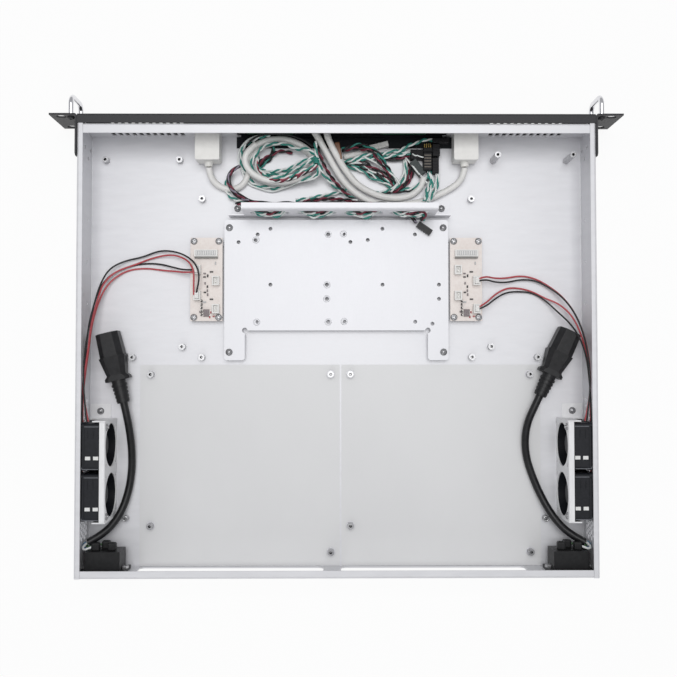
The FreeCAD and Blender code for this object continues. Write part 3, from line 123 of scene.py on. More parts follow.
def finish(name, light, dark, grain, roughness=(0.3, 0.45), relief=0.05, metallic=0.0, stretch=(1, 1, 1), shine=0.5):
    """A surface whose tone, gloss and relief wander a little; grain is its number of patches in a metre."""
    made = bpy.data.materials.new(name)
    made.use_nodes = True
    nodes = made.node_tree.nodes
    links = made.node_tree.links
    shader = nodes["Principled BSDF"]
    shader.inputs["Metallic"].default_value = metallic
    shader.inputs["Specular IOR Level"].default_value = shine
    place = nodes.new("ShaderNodeTexCoord")
    scaled = nodes.new("ShaderNodeMapping")
    scaled.inputs["Scale"].default_value = [grain * s for s in stretch]
    links.new(place.outputs["Object"], scaled.inputs["Vector"])
    clouds = nodes.new("ShaderNodeTexNoise")
    clouds.inputs["Scale"].default_value = 1.0
    clouds.inputs["Detail"].default_value = cloud_detail
    links.new(scaled.outputs["Vector"], clouds.inputs["Vector"])
    tone = nodes.new("ShaderNodeValToRGB")
    for stop, position, colour in zip(tone.color_ramp.elements, tone_span, (dark, light)):
        stop.position = position
        stop.color = (*colour, 1)
    links.new(clouds.outputs["Fac"], tone.inputs["Fac"])
    links.new(tone.outputs["Color"], shader.inputs["Base Color"])
    gloss = nodes.new("ShaderNodeMapRange")
    gloss.inputs["To Min"].default_value = roughness[0]
    gloss.inputs["To Max"].default_value = roughness[1]
    links.new(clouds.outputs["Fac"], gloss.inputs["Value"])
    links.new(gloss.outputs["Result"], shader.inputs["Roughness"])
    bump = nodes.new("ShaderNodeBump")
    bump.inputs["Strength"].default_value = relief
    bump.inputs["Distance"].default_value = relief_height
    links.new(clouds.outputs["Fac"], bump.inputs["Height"])
    links.new(bump.outputs["Normal"], shader.inputs["Normal"])
    return made


def dress(material, *names):
    """Gives CAD nodes their finish."""
    for name in names:
        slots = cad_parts[name].data.materials
        slots.clear()
        slots.append(material)


zinc = finish("zinc_sheet", (0.765, 0.765, 0.79), (0.72, 0.72, 0.745), 45, (0.38, 0.5), 0.02, 0.2, (1, 4, 1))
dress(zinc, "base_pan", "front_wall", "rear_wall")

# The insulating sheets under the boards: thin grey plastic film, cut round the standoffs and stuck to the floor.
# The film has a soft sheen and a few long shallow waves.


def both(name):
    """A left and a right node's names."""
    return name + "_left", name + "_right"


film = finish("insulating_film", (0.755, 0.755, 0.76), (0.71, 0.71, 0.715), 9, (0.3, 0.42), 0.05, 0.0, (1, 0.6, 1))
dress(film, *both("insulator"))

# Standoffs and posts: short steel pillars with a threaded bore, turned or hexagonal, bright zinc plated.
# They are pressed into the floor from below and carry the boards and the tray.

bright_zinc = finish("bright_zinc", (0.52, 0.52, 0.53), (0.34, 0.34, 0.35), 700, (0.22, 0.4), 0.05, 0.85)
dress(bright_zinc, *both("board_standoffs"), "floor_standoffs", "tall_posts")

# The two mains inlets: black moulded bodies that stand through the rear wall, each held by two screws and nuts.
# The tabs on the inner face sit under three black vinyl boots that the conductors of the pigtail run into.

inlet_plastic = finish("inlet_plastic", (0.016, 0.016, 0.017), (0.009, 0.009, 0.01), 350, (0.34, 0.5), shine=0.3)
dress(inlet_plastic, *both("inlet"))
inlet_x = 0.1975
inlet_middle_z = 0.021
inlet_inner_y = 0.170
inlet_flange_y = 0.1858
inlet_screw_reach = 0.017
boot_size = (0.0070, 0.0072, 0.0062)
boot_places = ((-0.007, 0.0035), (0.007, 0.0035), (0.0, -0.0045))
boot_y = inlet_inner_y - boot_size[1] / 2 + 0.0004
boot_round = 0.0014
nut_across = 0.0055
nut_out = nut_across / math.sqrt(3)
nut_face = 0.95 * nut_out
nut_thick = 0.0024
nut_bore = 0.0014
nut_chamfer = 0.0003
nut_profile = ((nut_bore, 0), (nut_face, 0), (nut_out, nut_chamfer), (nut_out, nut_thick - nut_chamfer),
               (nut_face, nut_thick), (nut_bore, nut_thick))
hands = ((1, "left"), (-1, "right"))


def add_block(bm, middle, size, edge, index=0, turn=0.0):
    """A block with rounded-over edges, turned about the vertical through its middle."""
    before = set(bm.faces)
    place = Matrix.Translation(middle) @ Matrix.Rotation(turn, 4, "Z") @ Matrix.Diagonal((*size, 1))
    corners = bmesh.ops.create_cube(bm, size=1.0, matrix=place)["verts"]
    edges = {e for v in corners for e in v.link_edges}
    bmesh.ops.bevel(bm, geom=list(edges), offset=edge, segments=2, profile=0.5, affect="EDGES")
    for face in bm.faces:
        if face not in before:
            face.material_index = index


def spokes(count):
    """Even directions round a circle."""
    return [(math.cos(math.tau * k / count), math.sin(math.tau * k / count)) for k in range(count)]


def add_turned(bm, profile, place, sides, index=0, ring=False):
    """A form turned round the Z axis of place: profile is (radius, height), and a ring's profile closes on itself."""
    rows = []
    for radius, height in profile:
        if radius == 0:
            rows.append([bm.verts.new(place @ Vector((0, 0, height)))])
            continue
        rows.append([bm.verts.new(place @ Vector((radius * c, radius * s, height))) for c, s in spokes(sides)])
    pairs = list(zip(rows, rows[1:]))
    if ring:
        pairs.append((rows[-1], rows[0]))
    for low, high in pairs:
        for k in range(sides):
            corners = [low[k % len(low)], low[(k + 1) % len(low)], high[(k + 1) % len(high)], high[k % len(high)]]
            face = bm.faces.new(list(dict.fromkeys(corners)))
            face.material_index = index
            face.smooth = True


def as_mesh(name, bm):
    """A finished mesh with its faces turned outward."""
    bmesh.ops.recalc_face_normals(bm, faces=bm.faces)
    mesh = bpy.data.meshes.new(name)
    bm.to_mesh(mesh)
    bm.free()
    return mesh


def make_piece(name, bm, slot, *materials):
    """A piece that rides on the chassis."""
    mesh = as_mesh(name, bm)
    for material in materials:
        mesh.materials.append(material)
    piece = bpy.data.objects.new(name, mesh)
    scene.collection.objects.link(piece)
    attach(piece, "chassis")
    return piece


for side, name in hands:
    boots = bmesh.new()
    for across, up in boot_places:
        add_block(boots, (side * inlet_x + across, boot_y, inlet_middle_z + up), boot_size, boot_round)
    make_piece("inlet_boots_" + name, boots, "black_plastic", inlet_plastic)
    hardware = bmesh.new()
    for end in (1, -1):
        nut_place = (Matrix.Translation((side * inlet_x + end * inlet_screw_reach, inlet_flange_y, inlet_middle_z))
                     @ Matrix.Rotation(math.radians(90), 4, "X"))
        add_turned(hardware, nut_profile, nut_place, 6, ring=True)
    for face in hardware.faces:
        face.smooth = False
    make_piece("inlet_hardware_" + name, hardware, "steel_fastener", bright_zinc)

# The mains pigtails: a round three-core cord in black soft vinyl from each inlet to a moulded line socket.
# The sheath stops short of the inlet, where blue, white and green conductors curl back to the tabs.

socket_rubber = finish("line_socket_moulding", (0.02, 0.02, 0.022), (0.01, 0.01, 0.011), 260, (0.36, 0.55), 0.1,
                       shine=0.35)
dress(socket_rubber, *both("line_socket"))
cord_sheath = finish("mains_sheath", (0.016, 0.016, 0.018), (0.008, 0.008, 0.009), 300, shine=0.35)
core_white = finish("core_white", (0.78, 0.80, 0.80), (0.70, 0.72, 0.72), 400, relief=0.03)
core_blue = finish("core_blue", (0.10, 0.26, 0.42), (0.07, 0.19, 0.33), 400, relief=0.03)
core_green = finish("core_green", (0.10, 0.24, 0.10), (0.06, 0.16, 0.06), 400, relief=0.03)


def metres(point):
    """A point of a cord's route, which is written in millimetres like every route below."""
    return tuple(round(c / 1000, 9) for c in point)


def add_route(curve, points):
    """One open smooth spline through a cord's route."""
    spline = curve.splines.new("NURBS")
    spline.points.add(len(points) - 1)
    for knot, point in zip(spline.points, points):
        knot.co = (*metres(point), 1)
    spline.order_u = 3
    spline.use_endpoint_u = True


def centre_line(points):
    """Close points along the smooth line that a cord takes through its route."""
    bare = bpy.data.curves.new("bare_route", "CURVE")
    bare.dimensions = "3D"
    bare.resolution_u = 12
    add_route(bare, points)
    holder = bpy.data.objects.new("bare_route", bare)
    mesh = bpy.data.meshes.new_from_object(holder)
    line = [v.co.copy() for v in mesh.vertices]
    bpy.data.objects.remove(holder)
    bpy.data.curves.remove(bare)
    bpy.data.meshes.remove(mesh)
    return line


def line_length(line):
    """The length along close points."""
    return sum((b - a).length for a, b in zip(line, line[1:]))


def heading(line, i):
    """The way that a line runs at one of its points."""
    return (line[min(i + 1, len(line) - 1)] - line[max(i - 1, 0)]).normalized()


def carried_axes(line):
    """Two directions across the line at each of its points, carried along without a twist."""
    axes = []
    across = None
    for i in range(len(line)):
        ahead = heading(line, i)
        if across is None:
            across = ahead.orthogonal().normalized()
        across = (across - ahead * across.dot(ahead)).normalized()
        axes.append((across.copy(), ahead.cross(across)))
    return axes


def add_strand(bm, line, radius, sides, index=0):
    """One round strand along close points, with closed ends."""
    rings = []
    for point, (across, up) in zip(line, carried_axes(line)):
        rings.append([bm.verts.new(point + across * (radius * c) + up * (radius * s)) for c, s in spokes(sides)])
    for low, high in zip(rings, rings[1:]):
        for k in range(sides):
            face = bm.faces.new((low[k - 1], low[k], high[k], high[k - 1]))
            face.material_index = index
            face.smooth = True
    for end in (rings[0], rings[-1]):
        bm.faces.new(end).material_index = index


def lay_cord(name, points, diameter, sheath, replaced):
    """A round cord along its route, which starts at the end that it leaves the object by."""
    curve = bpy.data.curves.new(name, "CURVE")
    curve.dimensions = "3D"
    curve.resolution_u = 8
    curve.bevel_depth = diameter / 2
    curve.bevel_resolution = 3
    curve.use_fill_caps = True
    add_route(curve, points)
    laid = bpy.data.objects.new(name, curve)
    scene.collection.objects.link(laid)
    curve.materials.append(sheath)
    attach(laid, "chassis")
    if replaced:
        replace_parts(laid, *replaced)
    line_length(centre_line(points))
    return laid


mains_diameter = 0.0065
core_diameter = 0.0021
wire_sides = 8
mains_routes = {
    "left": [
        (211.8, 163.8, 21.5), (203.5, 159.5, 19), (194, 152, 15), (186, 139, 9.5), (181, 122, 6), (178.7, 104, 5),
        (178.5, 86, 7), (180, 70, 9.5), (182.3, 56.3, 11.1), (184.9, 45.6, 11.1)],
    "right": [
        (-211.8, 164.5, 21.5), (-203, 160, 19.5), (-193, 152.5, 16), (-184, 140, 11), (-176.8, 125.5, 7),
        (-170.5, 110, 5.5), (-165.5, 94, 5), (-164, 78, 7), (-166, 63, 9.5), (-171.7, 49.8, 11.1),
        (-176.5, 39.9, 11.1)]}
core_routes = (
    ((212.8, 164.6, 22.2), (214.6, 166, 24.6), (215, 168, 26.8), (212.8, 169, 27.2), (210, 167.8, 26.2),
     (206.8, 166.8, 25.2)),
    ((213.6, 164, 21), (215.6, 165.5, 21.5), (215.7, 167.6, 22.5), (213.2, 169, 23.8), (210, 168.2, 24),
     (206.8, 167.2, 23.8)),
    ((212.6, 165, 19.8), (214, 166.8, 19), (212.8, 168.4, 18.6), (209.8, 167.6, 19), (206, 166.8, 18.2),
     (200, 166.2, 17)))
for side, name in hands:
    cores = bmesh.new()
    for k, route in enumerate(core_routes):
        add_strand(cores, centre_line([(side * x, y, z) for x, y, z in route]), core_diameter / 2, wire_sides, k)
    core_piece = make_piece("mains_cores_" + name, cores, "lead_wire", core_white, core_blue, core_green)
    lay_cord("mains_lead_" + name, mains_routes[name], mains_diameter, cord_sheath,
             ["mains_cord_" + name])

# The fans: 40 mm square black moulded frames with bladed rotors, two to a side, screwed to a folded pale bracket.
# The top flank of each frame has a raised rim, painted lighter than the frame as a highlight on its edge, three thin
# stiffening ribs and two small pale blocks that are painted glints.

fan_plastic = finish("fan_plastic", (0.014, 0.015, 0.020), (0.008, 0.009, 0.012), 500, (0.38, 0.54), 0.08, shine=0.3)
# Painted highlight: the rim is the same black moulding as the frame, coloured lighter where light catches its edge.
rim_highlight_paint = finish("fan_rim_painted_highlight", (0.13, 0.135, 0.15), (0.09, 0.095, 0.105), 500, (0.34, 0.5), 0.08, shine=0.4)
rotor_plastic = finish("rotor_plastic", (0.035, 0.037, 0.042), (0.02, 0.022, 0.026), 500, (0.3, 0.44), shine=0.4)
bracket_sheet = finish("bracket_sheet", (0.86, 0.86, 0.87), (0.80, 0.80, 0.81), 70, (0.34, 0.46), 0.03, 0.05,
                       (6, 1, 1))
# Painted glints: a pale colour for the small blocks on each flank, which stand for bright points of light.
glint_pad_paint = finish("fan_pad_painted_glint", (0.84, 0.84, 0.83), (0.72, 0.72, 0.71), 1500, (0.6, 0.8), 0.4)
dress(bracket_sheet, *both("fan_bracket"))
fan_ys = {"front": 0.0811, "rear": 0.1233}
flank_z = 0.0407
pad_size = (0.0044, 0.0030, 0.0007)
pad_xs = (0.2006, 0.2073)
pad_y = 0.0095
rib_size = (0.0006, 0.0075, 0.0005)
rib_xs = (0.1985, 0.2030, 0.2075)
rib_y = -0.0105
rim_xs = (0.1985, 0.2123)
rim_ys = (-0.0166, 0.0186)
rim_wide = 0.0009
rim_tall = 0.0006
rim_z = flank_z + 0.0002
flank_edge = 0.0002
for side, name in hands:
    for place, fan_y in fan_ys.items():
        dress(fan_plastic, "fan_frame_" + name + "_" + place)
        dress(rotor_plastic, "fan_rotor_" + name + "_" + place)
        # Two small pale blocks on the flank, painted glints.
        pads = bmesh.new()
        for x in pad_xs:
            add_block(pads, (side * x, fan_y + pad_y, flank_z + pad_size[2] / 2), pad_size, flank_edge)
        make_piece("fan_glint_pads_" + name + "_" + place, pads, "white_plastic", glint_pad_paint)
        ribs = bmesh.new()
        for x in rib_xs:
            add_block(ribs, (side * x, fan_y + rib_y, flank_z + rib_size[2] / 2), rib_size, rib_size[0] / 4)
        # The rim strips, in the lighter rim colour that is a painted highlight.
        for y in rim_ys:
            add_block(ribs, (side * (rim_xs[0] + rim_xs[1]) / 2, fan_y + y, rim_z),
                      (rim_xs[1] - rim_xs[0], rim_wide, rim_tall), flank_edge, 1)
        add_block(ribs, (side * rim_xs[1], fan_y + (rim_ys[0] + rim_ys[1]) / 2, rim_z),
                  (rim_wide, rim_ys[1] - rim_ys[0], rim_tall), flank_edge, 1)
        make_piece("fan_ribs_" + name + "_" + place, ribs, "black_plastic", fan_plastic, rim_highlight_paint)

# The drive tray: one punched sheet, paler than the pan, screwed to four standoffs over the floor.
# Eight of its holes have a pressed collar round them, so that a drive stands clear of the sheet.

pale_sheet = finish("pale_sheet", (0.80, 0.80, 0.83), (0.765, 0.765, 0.795), 60, (0.34, 0.46), 0.02, 0.1, (4, 1, 1))
dress(pale_sheet, "drive_tray")
tray_top_z = 0.0084
collar_outer = 0.0031
collar_inner = 0.00185
collar_tall = 0.0005
collar_sink = 0.0001
collar_profile = ((collar_inner, -collar_sink), (collar_inner, collar_tall * 0.7), (collar_inner + 0.0003, collar_tall),
                  (collar_outer - 0.0006, collar_tall), (collar_outer, collar_tall * 0.3), (collar_outer, -collar_sink))
collar_places = ((0.0076, -0.1011), (-0.0058, -0.1016), (0.0708, -0.0962), (0.0087, -0.0568), (0.0089, -0.0446),
                 (0.0701, -0.0242), (0.0076, -0.0244), (-0.0063, -0.0248))
collars = bmesh.new()
for x, y in collar_places:
    add_turned(collars, collar_profile, Matrix.Translation((x, y, tray_top_z)), 28, ring=True)
make_piece("tray_collars", collars, "white_sheet", pale_sheet)

# The fan power boards: small cream circuit boards beside the tray, each on four screws.
# They carry white pin sockets, a comb block with a grey window, a row of bare pins, one chip and small parts.

board_laminate = finish("cream_laminate", (0.85, 0.79, 0.75), (0.79, 0.71, 0.67), 420, relief=0.06)
nylon = finish("white_nylon", (0.84, 0.83, 0.81), (0.76, 0.75, 0.73), 300)
# Painted shadow: a dark grey for the thin block beside the comb block, where the comb's shade falls on the board.
comb_painted_shadow = finish("comb_painted_shadow", (0.30, 0.29, 0.275), (0.24, 0.23, 0.22), 500, (0.4, 0.55), 0.1)
comb_grey = finish("comb_grey", (0.56, 0.56, 0.56), (0.50, 0.50, 0.50), 500, (0.4, 0.55), 0.1)
chip_black = finish("chip_moulding", (0.05, 0.045, 0.045), (0.03, 0.027, 0.027), 900, (0.4, 0.55), 0.1)
chip_brown = finish("chip_brown", (0.27, 0.23, 0.235), (0.14, 0.115, 0.12), 900, (0.35, 0.5), 0.08)
red_part = finish("red_part", (0.45, 0.08, 0.09), (0.33, 0.05, 0.06), 900)
pin_tin = finish("tinned_pin", (0.70, 0.69, 0.66), (0.52, 0.51, 0.49), 900, (0.2, 0.35), 0.03, 0.9)
dress(board_laminate, *both("power_board"))
dress(nylon, *both("board_sockets"))
board_outer_x = {"left": 0.128, "right": -0.0992}
board_front_y = -0.0982
board_top_z = 0.0088
comb_middle = (0.014, 0.0140)
comb_top_z = 0.0138
window_z = comb_top_z + 0.0001
window_size = (0.0175, 0.0042, 0.0005)
tooth_size = (0.0007, 0.0034, 0.0004)
tooth_first = 0.0062
tooth_pitch = 0.00195
tooth_count = 9
# The thin painted shadow block beside the comb block.
comb_shadow_along = 0.0178
comb_shadow_size = (0.0200, 0.0012, 0.0028)
pin_row = (0.0100, 0.0555)
pin_row_pitch = 0.0030
pin_row_count = 5
pin_seat_size = (0.0015, 0.0020, 0.0020)
pin_size = (0.0006, 0.0006, 0.0042)
pin_z = board_top_z + 0.0030
socket_places = ((0.0065, 0.0285), (0.0065, 0.0510), (0.0226, 0.0380), (0.0226, 0.0625))
socket_floor_z = 0.0118
socket_pin_size = (0.0006, 0.0006, 0.0030)
socket_pin_z = socket_floor_z + 0.0011
socket_step = 0.00125
chip_middle = (0.0142, 0.0660)
chip_size = (0.0053, 0.0063, 0.0015)
chip_z = board_top_z + 0.0008
chip_edge = 0.0003
leg_size = (0.0014, 0.0005, 0.0005)
leg_z = board_top_z + 0.0003
leg_reach = 0.0031
leg_first = 0.0642
leg_pitch = 0.00125
leg_rows = 4
fine_edge = 0.0001
part_edge = 0.0002
small_part_tall = 0.0010
small_part_z = board_top_z + small_part_tall / 2
small_part_edge = 0.00015
small_parts = (
    (0.0125, 0.0315, 0.0022, 0.0012, 4), (0.0125, 0.0345, 0.0022, 0.0012, 3), (0.0152, 0.0335, 0.0013, 0.0024, 3),
    (0.0130, 0.0400, 0.0012, 0.0022, 4), (0.0150, 0.0430, 0.0012, 0.0022, 3), (0.0150, 0.0465, 0.0012, 0.0022, 4),
    (0.0128, 0.0480, 0.0022, 0.0012, 3), (0.0152, 0.0500, 0.0013, 0.0024, 4), (0.0095, 0.0650, 0.0028, 0.0016, 4),
    (0.0180, 0.0655, 0.0012, 0.0020, 5), (0.0205, 0.0690, 0.0018, 0.0012, 5), (0.0170, 0.0695, 0.0012, 0.0018, 5),
    (0.0185, 0.0300, 0.0030, 0.0012, 3), (0.0185, 0.0540, 0.0030, 0.0012, 3), (0.0125, 0.0565, 0.0030, 0.0014, 1),
    (0.0220, 0.0225, 0.0012, 0.0026, 1))


def fit(bm, name, across, along, z, size, edge, index=0):
    """A block on one of the boards, measured from the board's outer front corner."""
    add_block(bm, (board_outer_x[name] - across, board_front_y + along, z), size, edge, index)


for name in board_outer_x:
    fitted = bmesh.new()
    fit(fitted, name, *comb_middle, window_z, window_size, fine_edge, 1)
    for k in range(tooth_count):
        fit(fitted, name, tooth_first + k * tooth_pitch, comb_middle[1], comb_top_z + tooth_size[2], tooth_size,
            fine_edge)
    # The dark block along the comb block is painted shadow on the board.
    fit(fitted, name, comb_middle[0], comb_shadow_along, board_top_z + comb_shadow_size[2] / 2, comb_shadow_size, part_edge,
        6)
    for k in range(pin_row_count):
        along = pin_row[1] + k * pin_row_pitch
        fit(fitted, name, pin_row[0], along, board_top_z + pin_seat_size[2] / 2, pin_seat_size, part_edge, 3)
        fit(fitted, name, pin_row[0], along, pin_z, pin_size, fine_edge, 2)
    for across, along in socket_places:
        for step in (-socket_step, socket_step):
            fit(fitted, name, across, along + step, socket_pin_z, socket_pin_size, fine_edge, 2)
    fit(fitted, name, *chip_middle, chip_z, chip_size, chip_edge, 4)
    for k in range(leg_rows):
        for reach in (-leg_reach, leg_reach):
            fit(fitted, name, chip_middle[0] + reach, leg_first + k * leg_pitch, leg_z, leg_size, fine_edge, 2)
    for across, along, wide, deep, index in small_parts:
        fit(fitted, name, across, along, small_part_z, (wide, deep, small_part_tall), small_part_edge, index)
    make_piece("board_fittings_" + name, fitted, "socket_nylon", nylon, comb_grey, pin_tin, chip_black, chip_brown,
               red_part, comb_painted_shadow)

# The fan leads: a red and a black wire from each fan along the side wall to a white plug on the power board.
# Thin stranded copper in soft vinyl, laid loose over the floor and lifted up the wall to the fan's top corner.

lead_black = finish("lead_black", (0.022, 0.022, 0.024), (0.012, 0.012, 0.013), 500, relief=0.04, shine=0.4)
lead_red = finish("lead_red", (0.56, 0.085, 0.10), (0.45, 0.06, 0.07), 500, relief=0.04)
fan_wire = 0.0015
lead_routes = {
    "black_left_front": [
        (122.5, -46.5, 15), (120, -54.5, 17.2), (118.7, -64.5, 18), (122, -74.5, 16.8), (131, -82, 12),
        (142.5, -86.5, 7), (156, -87.5, 4.7), (171, -81.5, 4), (186, -78.5, 4.5), (198.5, -71.5, 8.5),
        (205, -58.5, 13), (208.5, -42, 18.5), (211, -24, 24), (212.8, -6, 29), (213.5, 12, 33), (213, 30, 35),
        (211.5, 46, 35.5), (210, 60.8, 35.4)],
    "red_left_front": [
        (123.9, -47.6, 15), (123.9, -55.6, 16.5), (123.4, -65.1, 17.5), (125.2, -72.3, 16), (131.9, -79.7, 10.5),
        (145.8, -84.2, 6.5), (164.1, -80.5, 3), (175.8, -75.7, 3), (194.6, -69.1, 5), (203.8, -58, 10),
        (206.5, -45.5, 15), (209.4, -31.5, 19), (211.1, -17.6, 22.5), (211.3, -3.9, 26), (212.2, 9.8, 30),
        (213.3, 23.3, 33), (213.7, 38.5, 34), (209, 60.5, 34)],
    "black_left_rear": [
        (125.2, -69.7, 12.8), (132.5, -69.5, 11.2), (142, -72, 7), (154, -75.5, 3.7), (168, -76.5, 2.2),
        (184, -73.5, 2.2), (198, -66.5, 5.5), (206.5, -55.5, 9), (210.8, -39, 13.5), (213.6, -21, 18.5),
        (214.3, -3, 23), (214.3, 15, 27.5), (215, 33, 30.5), (215.3, 50, 31), (215.1, 67, 31), (215.3, 84, 31.3),
        (215.2, 101, 31), (215.3, 112, 31)],
    "red_left_rear": [
        (125.2, -67.8, 12.2), (132.5, -67.5, 10.5), (142, -69, 6), (154, -70.2, 3), (168, -72.2, 2.2),
        (184, -70.5, 2.2), (196.5, -62.5, 5), (204, -51.5, 8.5), (208.8, -36, 12.8), (211.8, -18, 17.6),
        (212.6, 0, 21.4), (214, 18, 25), (215.3, 36, 27.8), (215.3, 53, 28.6), (215.3, 70, 28.8), (215.3, 87, 28.8),
        (215.3, 104, 28.8), (215.3, 115, 28.8)],
    "black_right_front": [
        (-122.2, -59.4, 15), (-129, -61.2, 15.2), (-137.5, -59, 10.5), (-149, -59, 6), (-162, -62, 4.5),
        (-175, -61, 4.7), (-188, -54, 6), (-199, -44, 11), (-206.5, -30, 18.5), (-211, -13, 26), (-212.7, 4, 31.5),
        (-213.5, 21, 34.8), (-213, 36, 35.5), (-211.5, 49, 35.5), (-210, 60.8, 35.4)],
    "red_right_front": [
        (-122.4, -61.2, 14.8), (-129, -64, 14), (-137.5, -62.5, 9), (-149, -63, 4.2), (-162, -65.5, 3),
        (-175, -63, 3.2), (-187.5, -55.5, 4.8), (-198, -46, 9), (-206, -32.5, 16.2), (-211.2, -15, 23.6),
        (-213.5, 2, 29.2), (-214.2, 19, 32.6), (-213.8, 34, 33.5), (-212.2, 47, 33.6), (-209, 60.5, 33.8)],
    "black_right_rear": [
        (-122.2, -35, 15), (-129, -37.2, 15.6), (-137.5, -44, 10.5), (-148.5, -50.5, 5.5), (-161, -51.5, 3.5),
        (-173.5, -50, 3), (-184, -43, 5), (-193, -33, 9.5), (-202, -23, 16), (-209, -10, 22.2), (-213, 7, 27),
        (-214.3, 26, 30), (-215, 44, 31), (-215.3, 61, 31.3), (-215.1, 78, 31), (-215.3, 95, 31.3),
        (-215.2, 112, 31)],
    "red_right_rear": [
        (-122.4, -36.6, 14.8), (-129.5, -40.2, 13.5), (-138.5, -48.5, 8), (-149.5, -54.5, 3.6), (-161, -54.5, 2.4),
        (-172.5, -51.5, 2.2), (-183, -45.5, 3.6), (-194.5, -40.5, 7.5), (-204.5, -30, 13.5), (-211, -13, 19),
        (-214, 5, 24), (-215.1, 24, 27.6), (-215.3, 43, 28.6), (-215.3, 60, 28.8), (-215.3, 77, 28.8),
        (-215.3, 94, 28.8), (-215.3, 111, 28.8)]}
used_sockets = {"left": (0, 1), "right": (2, 3)}
plug_size = (0.0036, 0.0056, 0.0040)
plug_foot_z = socket_floor_z + 0.0004
plug_edge = 0.0003
latch_size = (0.0020, 0.0018, 0.0006)
for name, used in used_sockets.items():
    plugs = bmesh.new()
    for k in used:
        across, along = socket_places[k]
        fit(plugs, name, across, along, plug_foot_z + plug_size[2] / 2, plug_size, plug_edge)
        for step in (-socket_step, socket_step):
            fit(plugs, name, across, along + step, plug_foot_z + plug_size[2], latch_size, part_edge)
    make_piece("lead_plugs_" + name, plugs, "socket_nylon", nylon)
for route_name, route in lead_routes.items():
    colour, place = route_name.split("_", 1)
    is_black = colour == "black"
    lay_cord("fan_wire_" + route_name, route, fan_wire, lead_black if is_black else lead_red,
             ["fan_lead_" + place] if is_black else [])

# The front panel and rack ears: folded steel with a fine black powder coat, the ears screwed to the side walls.
# The bow handles are bent from round bar, plated bright and screwed on from behind the ears.

powder_coat = finish("black_powder_coat", (0.040, 0.040, 0.044), (0.027, 0.027, 0.030), 900, (0.42, 0.6), 0.25,
                     shine=0.4)
dress(powder_coat, "front_panel", *both("ear"))
bright_plating = finish("bright_plating", (0.82, 0.82, 0.84), (0.7, 0.7, 0.73), 90, (0.08, 0.2), 0.01, 1.0)
dress(bright_plating, *both("handle"))

# The front controls: green switch boards behind the panel with black push buttons and small lamps.
# The buttons slide in the panel's holes on their switches; the lamps shine through clear tinted lenses.

solder_mask = finish("green_board", (0.03, 0.16, 0.08), (0.02, 0.10, 0.05), 380, (0.25, 0.4), 0.05)
dress(solder_mask, *both("switch_board"))
button_plastic = finish("button_plastic", (0.05, 0.05, 0.052), (0.03, 0.03, 0.032), 500, (0.25, 0.4), 0.04)
dress(button_plastic, *both("power_button"), *both("reset_button"))
lens = finish("lamp_lens", (0.62, 0.80, 0.66), (0.55, 0.72, 0.58), 800, (0.06, 0.14), 0.02)
dress(lens, "led_lenses")

# The strip along the foot of the front wall: a thin black strip on the floor, folded over the sill.
# Its black is painted shade, for the dark seen through the wide opening at the foot of the front wall.

# Painted shade: the strip's near-black stands for the dark at the foot of the front wall.
floor_strip_painted_shade = finish("floor_strip_painted_shade", (0.014, 0.016, 0.020), (0.007, 0.008, 0.011), 600, (0.5, 0.7), 0.2, shine=0.2)
strip_foot_z = 0.00125
strip_top_z = 0.0017
strip_edge_y = -0.1788
strip_wall_y = -0.18865
strip_xs = (-0.1060, 0.0886)
fold_face_y = -0.1882
fold_back_y = -0.1899
fold_foot_z = 0.0014
sill_z = 0.00385
fold_top_z = 0.0044
fold_xs = (-0.0934, 0.0844)
strip_round = 0.0002


def add_folded(bm, outline, low_x, high_x):
    """A bent strip: an outline in Y and Z carried along X, with both ends closed."""
    ends = [[bm.verts.new((x, y, z)) for y, z in outline] for x in (low_x, high_x)]
    for k in range(len(outline)):
        bm.faces.new((ends[0][k - 1], ends[0][k], ends[1][k], ends[1][k - 1]))
    for end in ends:
        bm.faces.new(end)


strip = bmesh.new()
add_folded(strip, ((strip_wall_y, strip_foot_z), (strip_edge_y, strip_foot_z),
                   (strip_edge_y + strip_round / 2, strip_top_z - strip_round / 2),
                   (strip_edge_y - strip_round, strip_top_z), (strip_wall_y, strip_top_z)), *strip_xs)
add_folded(strip, ((strip_wall_y, fold_foot_z), (fold_face_y, fold_foot_z), (fold_face_y, fold_top_z - strip_round),
                   (fold_face_y - strip_round, fold_top_z), (fold_back_y, fold_top_z), (fold_back_y, sill_z),
                   (strip_wall_y, sill_z)), *fold_xs)
make_piece("foot_strip", strip, "black_plastic", floor_strip_painted_shade)

# The front port blocks and their cables: ivory mouldings behind the front wall, each with a stout white cable.
# The left cable is wound up as a slack coil; the right one and a loose end stand in ribbed plugs on the front panel.

ivory = finish("ivory_moulding", (0.85, 0.84, 0.81), (0.79, 0.78, 0.75), 220)
dress(ivory, *both("usb_block"))
white_sheath = finish("white_sheath", (0.86, 0.85, 0.83), (0.80, 0.79, 0.77), 160, (0.32, 0.48))
port_cable = 0.0056
coil_middle = (49.4, -165.5)
coil_reach = (30.9, 19.7)
coil_turns = 2.3
coil_steps = 16
coil_start = 20.0
coil_low_z = 4.3
coil_rise = 5.8
coil_level = (0.35, 1.35)
coil_swell = 0.10
coil_waver = 0.02
coil_pinch = 0.25
left_route = [
    (112, -159.3, 11), (111, -152.5, 9.3), (106.5, -146, 6.5), (99, -142, 4.7), (90, -141.5, 4.4),
    (82, -145.5, 4.4)]
for k in range(int(coil_turns * coil_steps)):
    turned = k / coil_steps
    angle = math.radians(coil_start - 360 * turned)
    swell = 1 - coil_swell * max(0.0, 1 - turned) + coil_waver * math.sin(2.3 * angle)
    pinch = 1 - coil_pinch * min(0.0, math.cos(angle)) ** 2
    left_route.append((coil_middle[0] + coil_reach[0] * swell * math.cos(angle),
                       coil_middle[1] + coil_reach[1] * swell * pinch * math.sin(angle),
                       coil_low_z + coil_rise * max(0.0, min(turned - coil_level[0], coil_level[1]))))
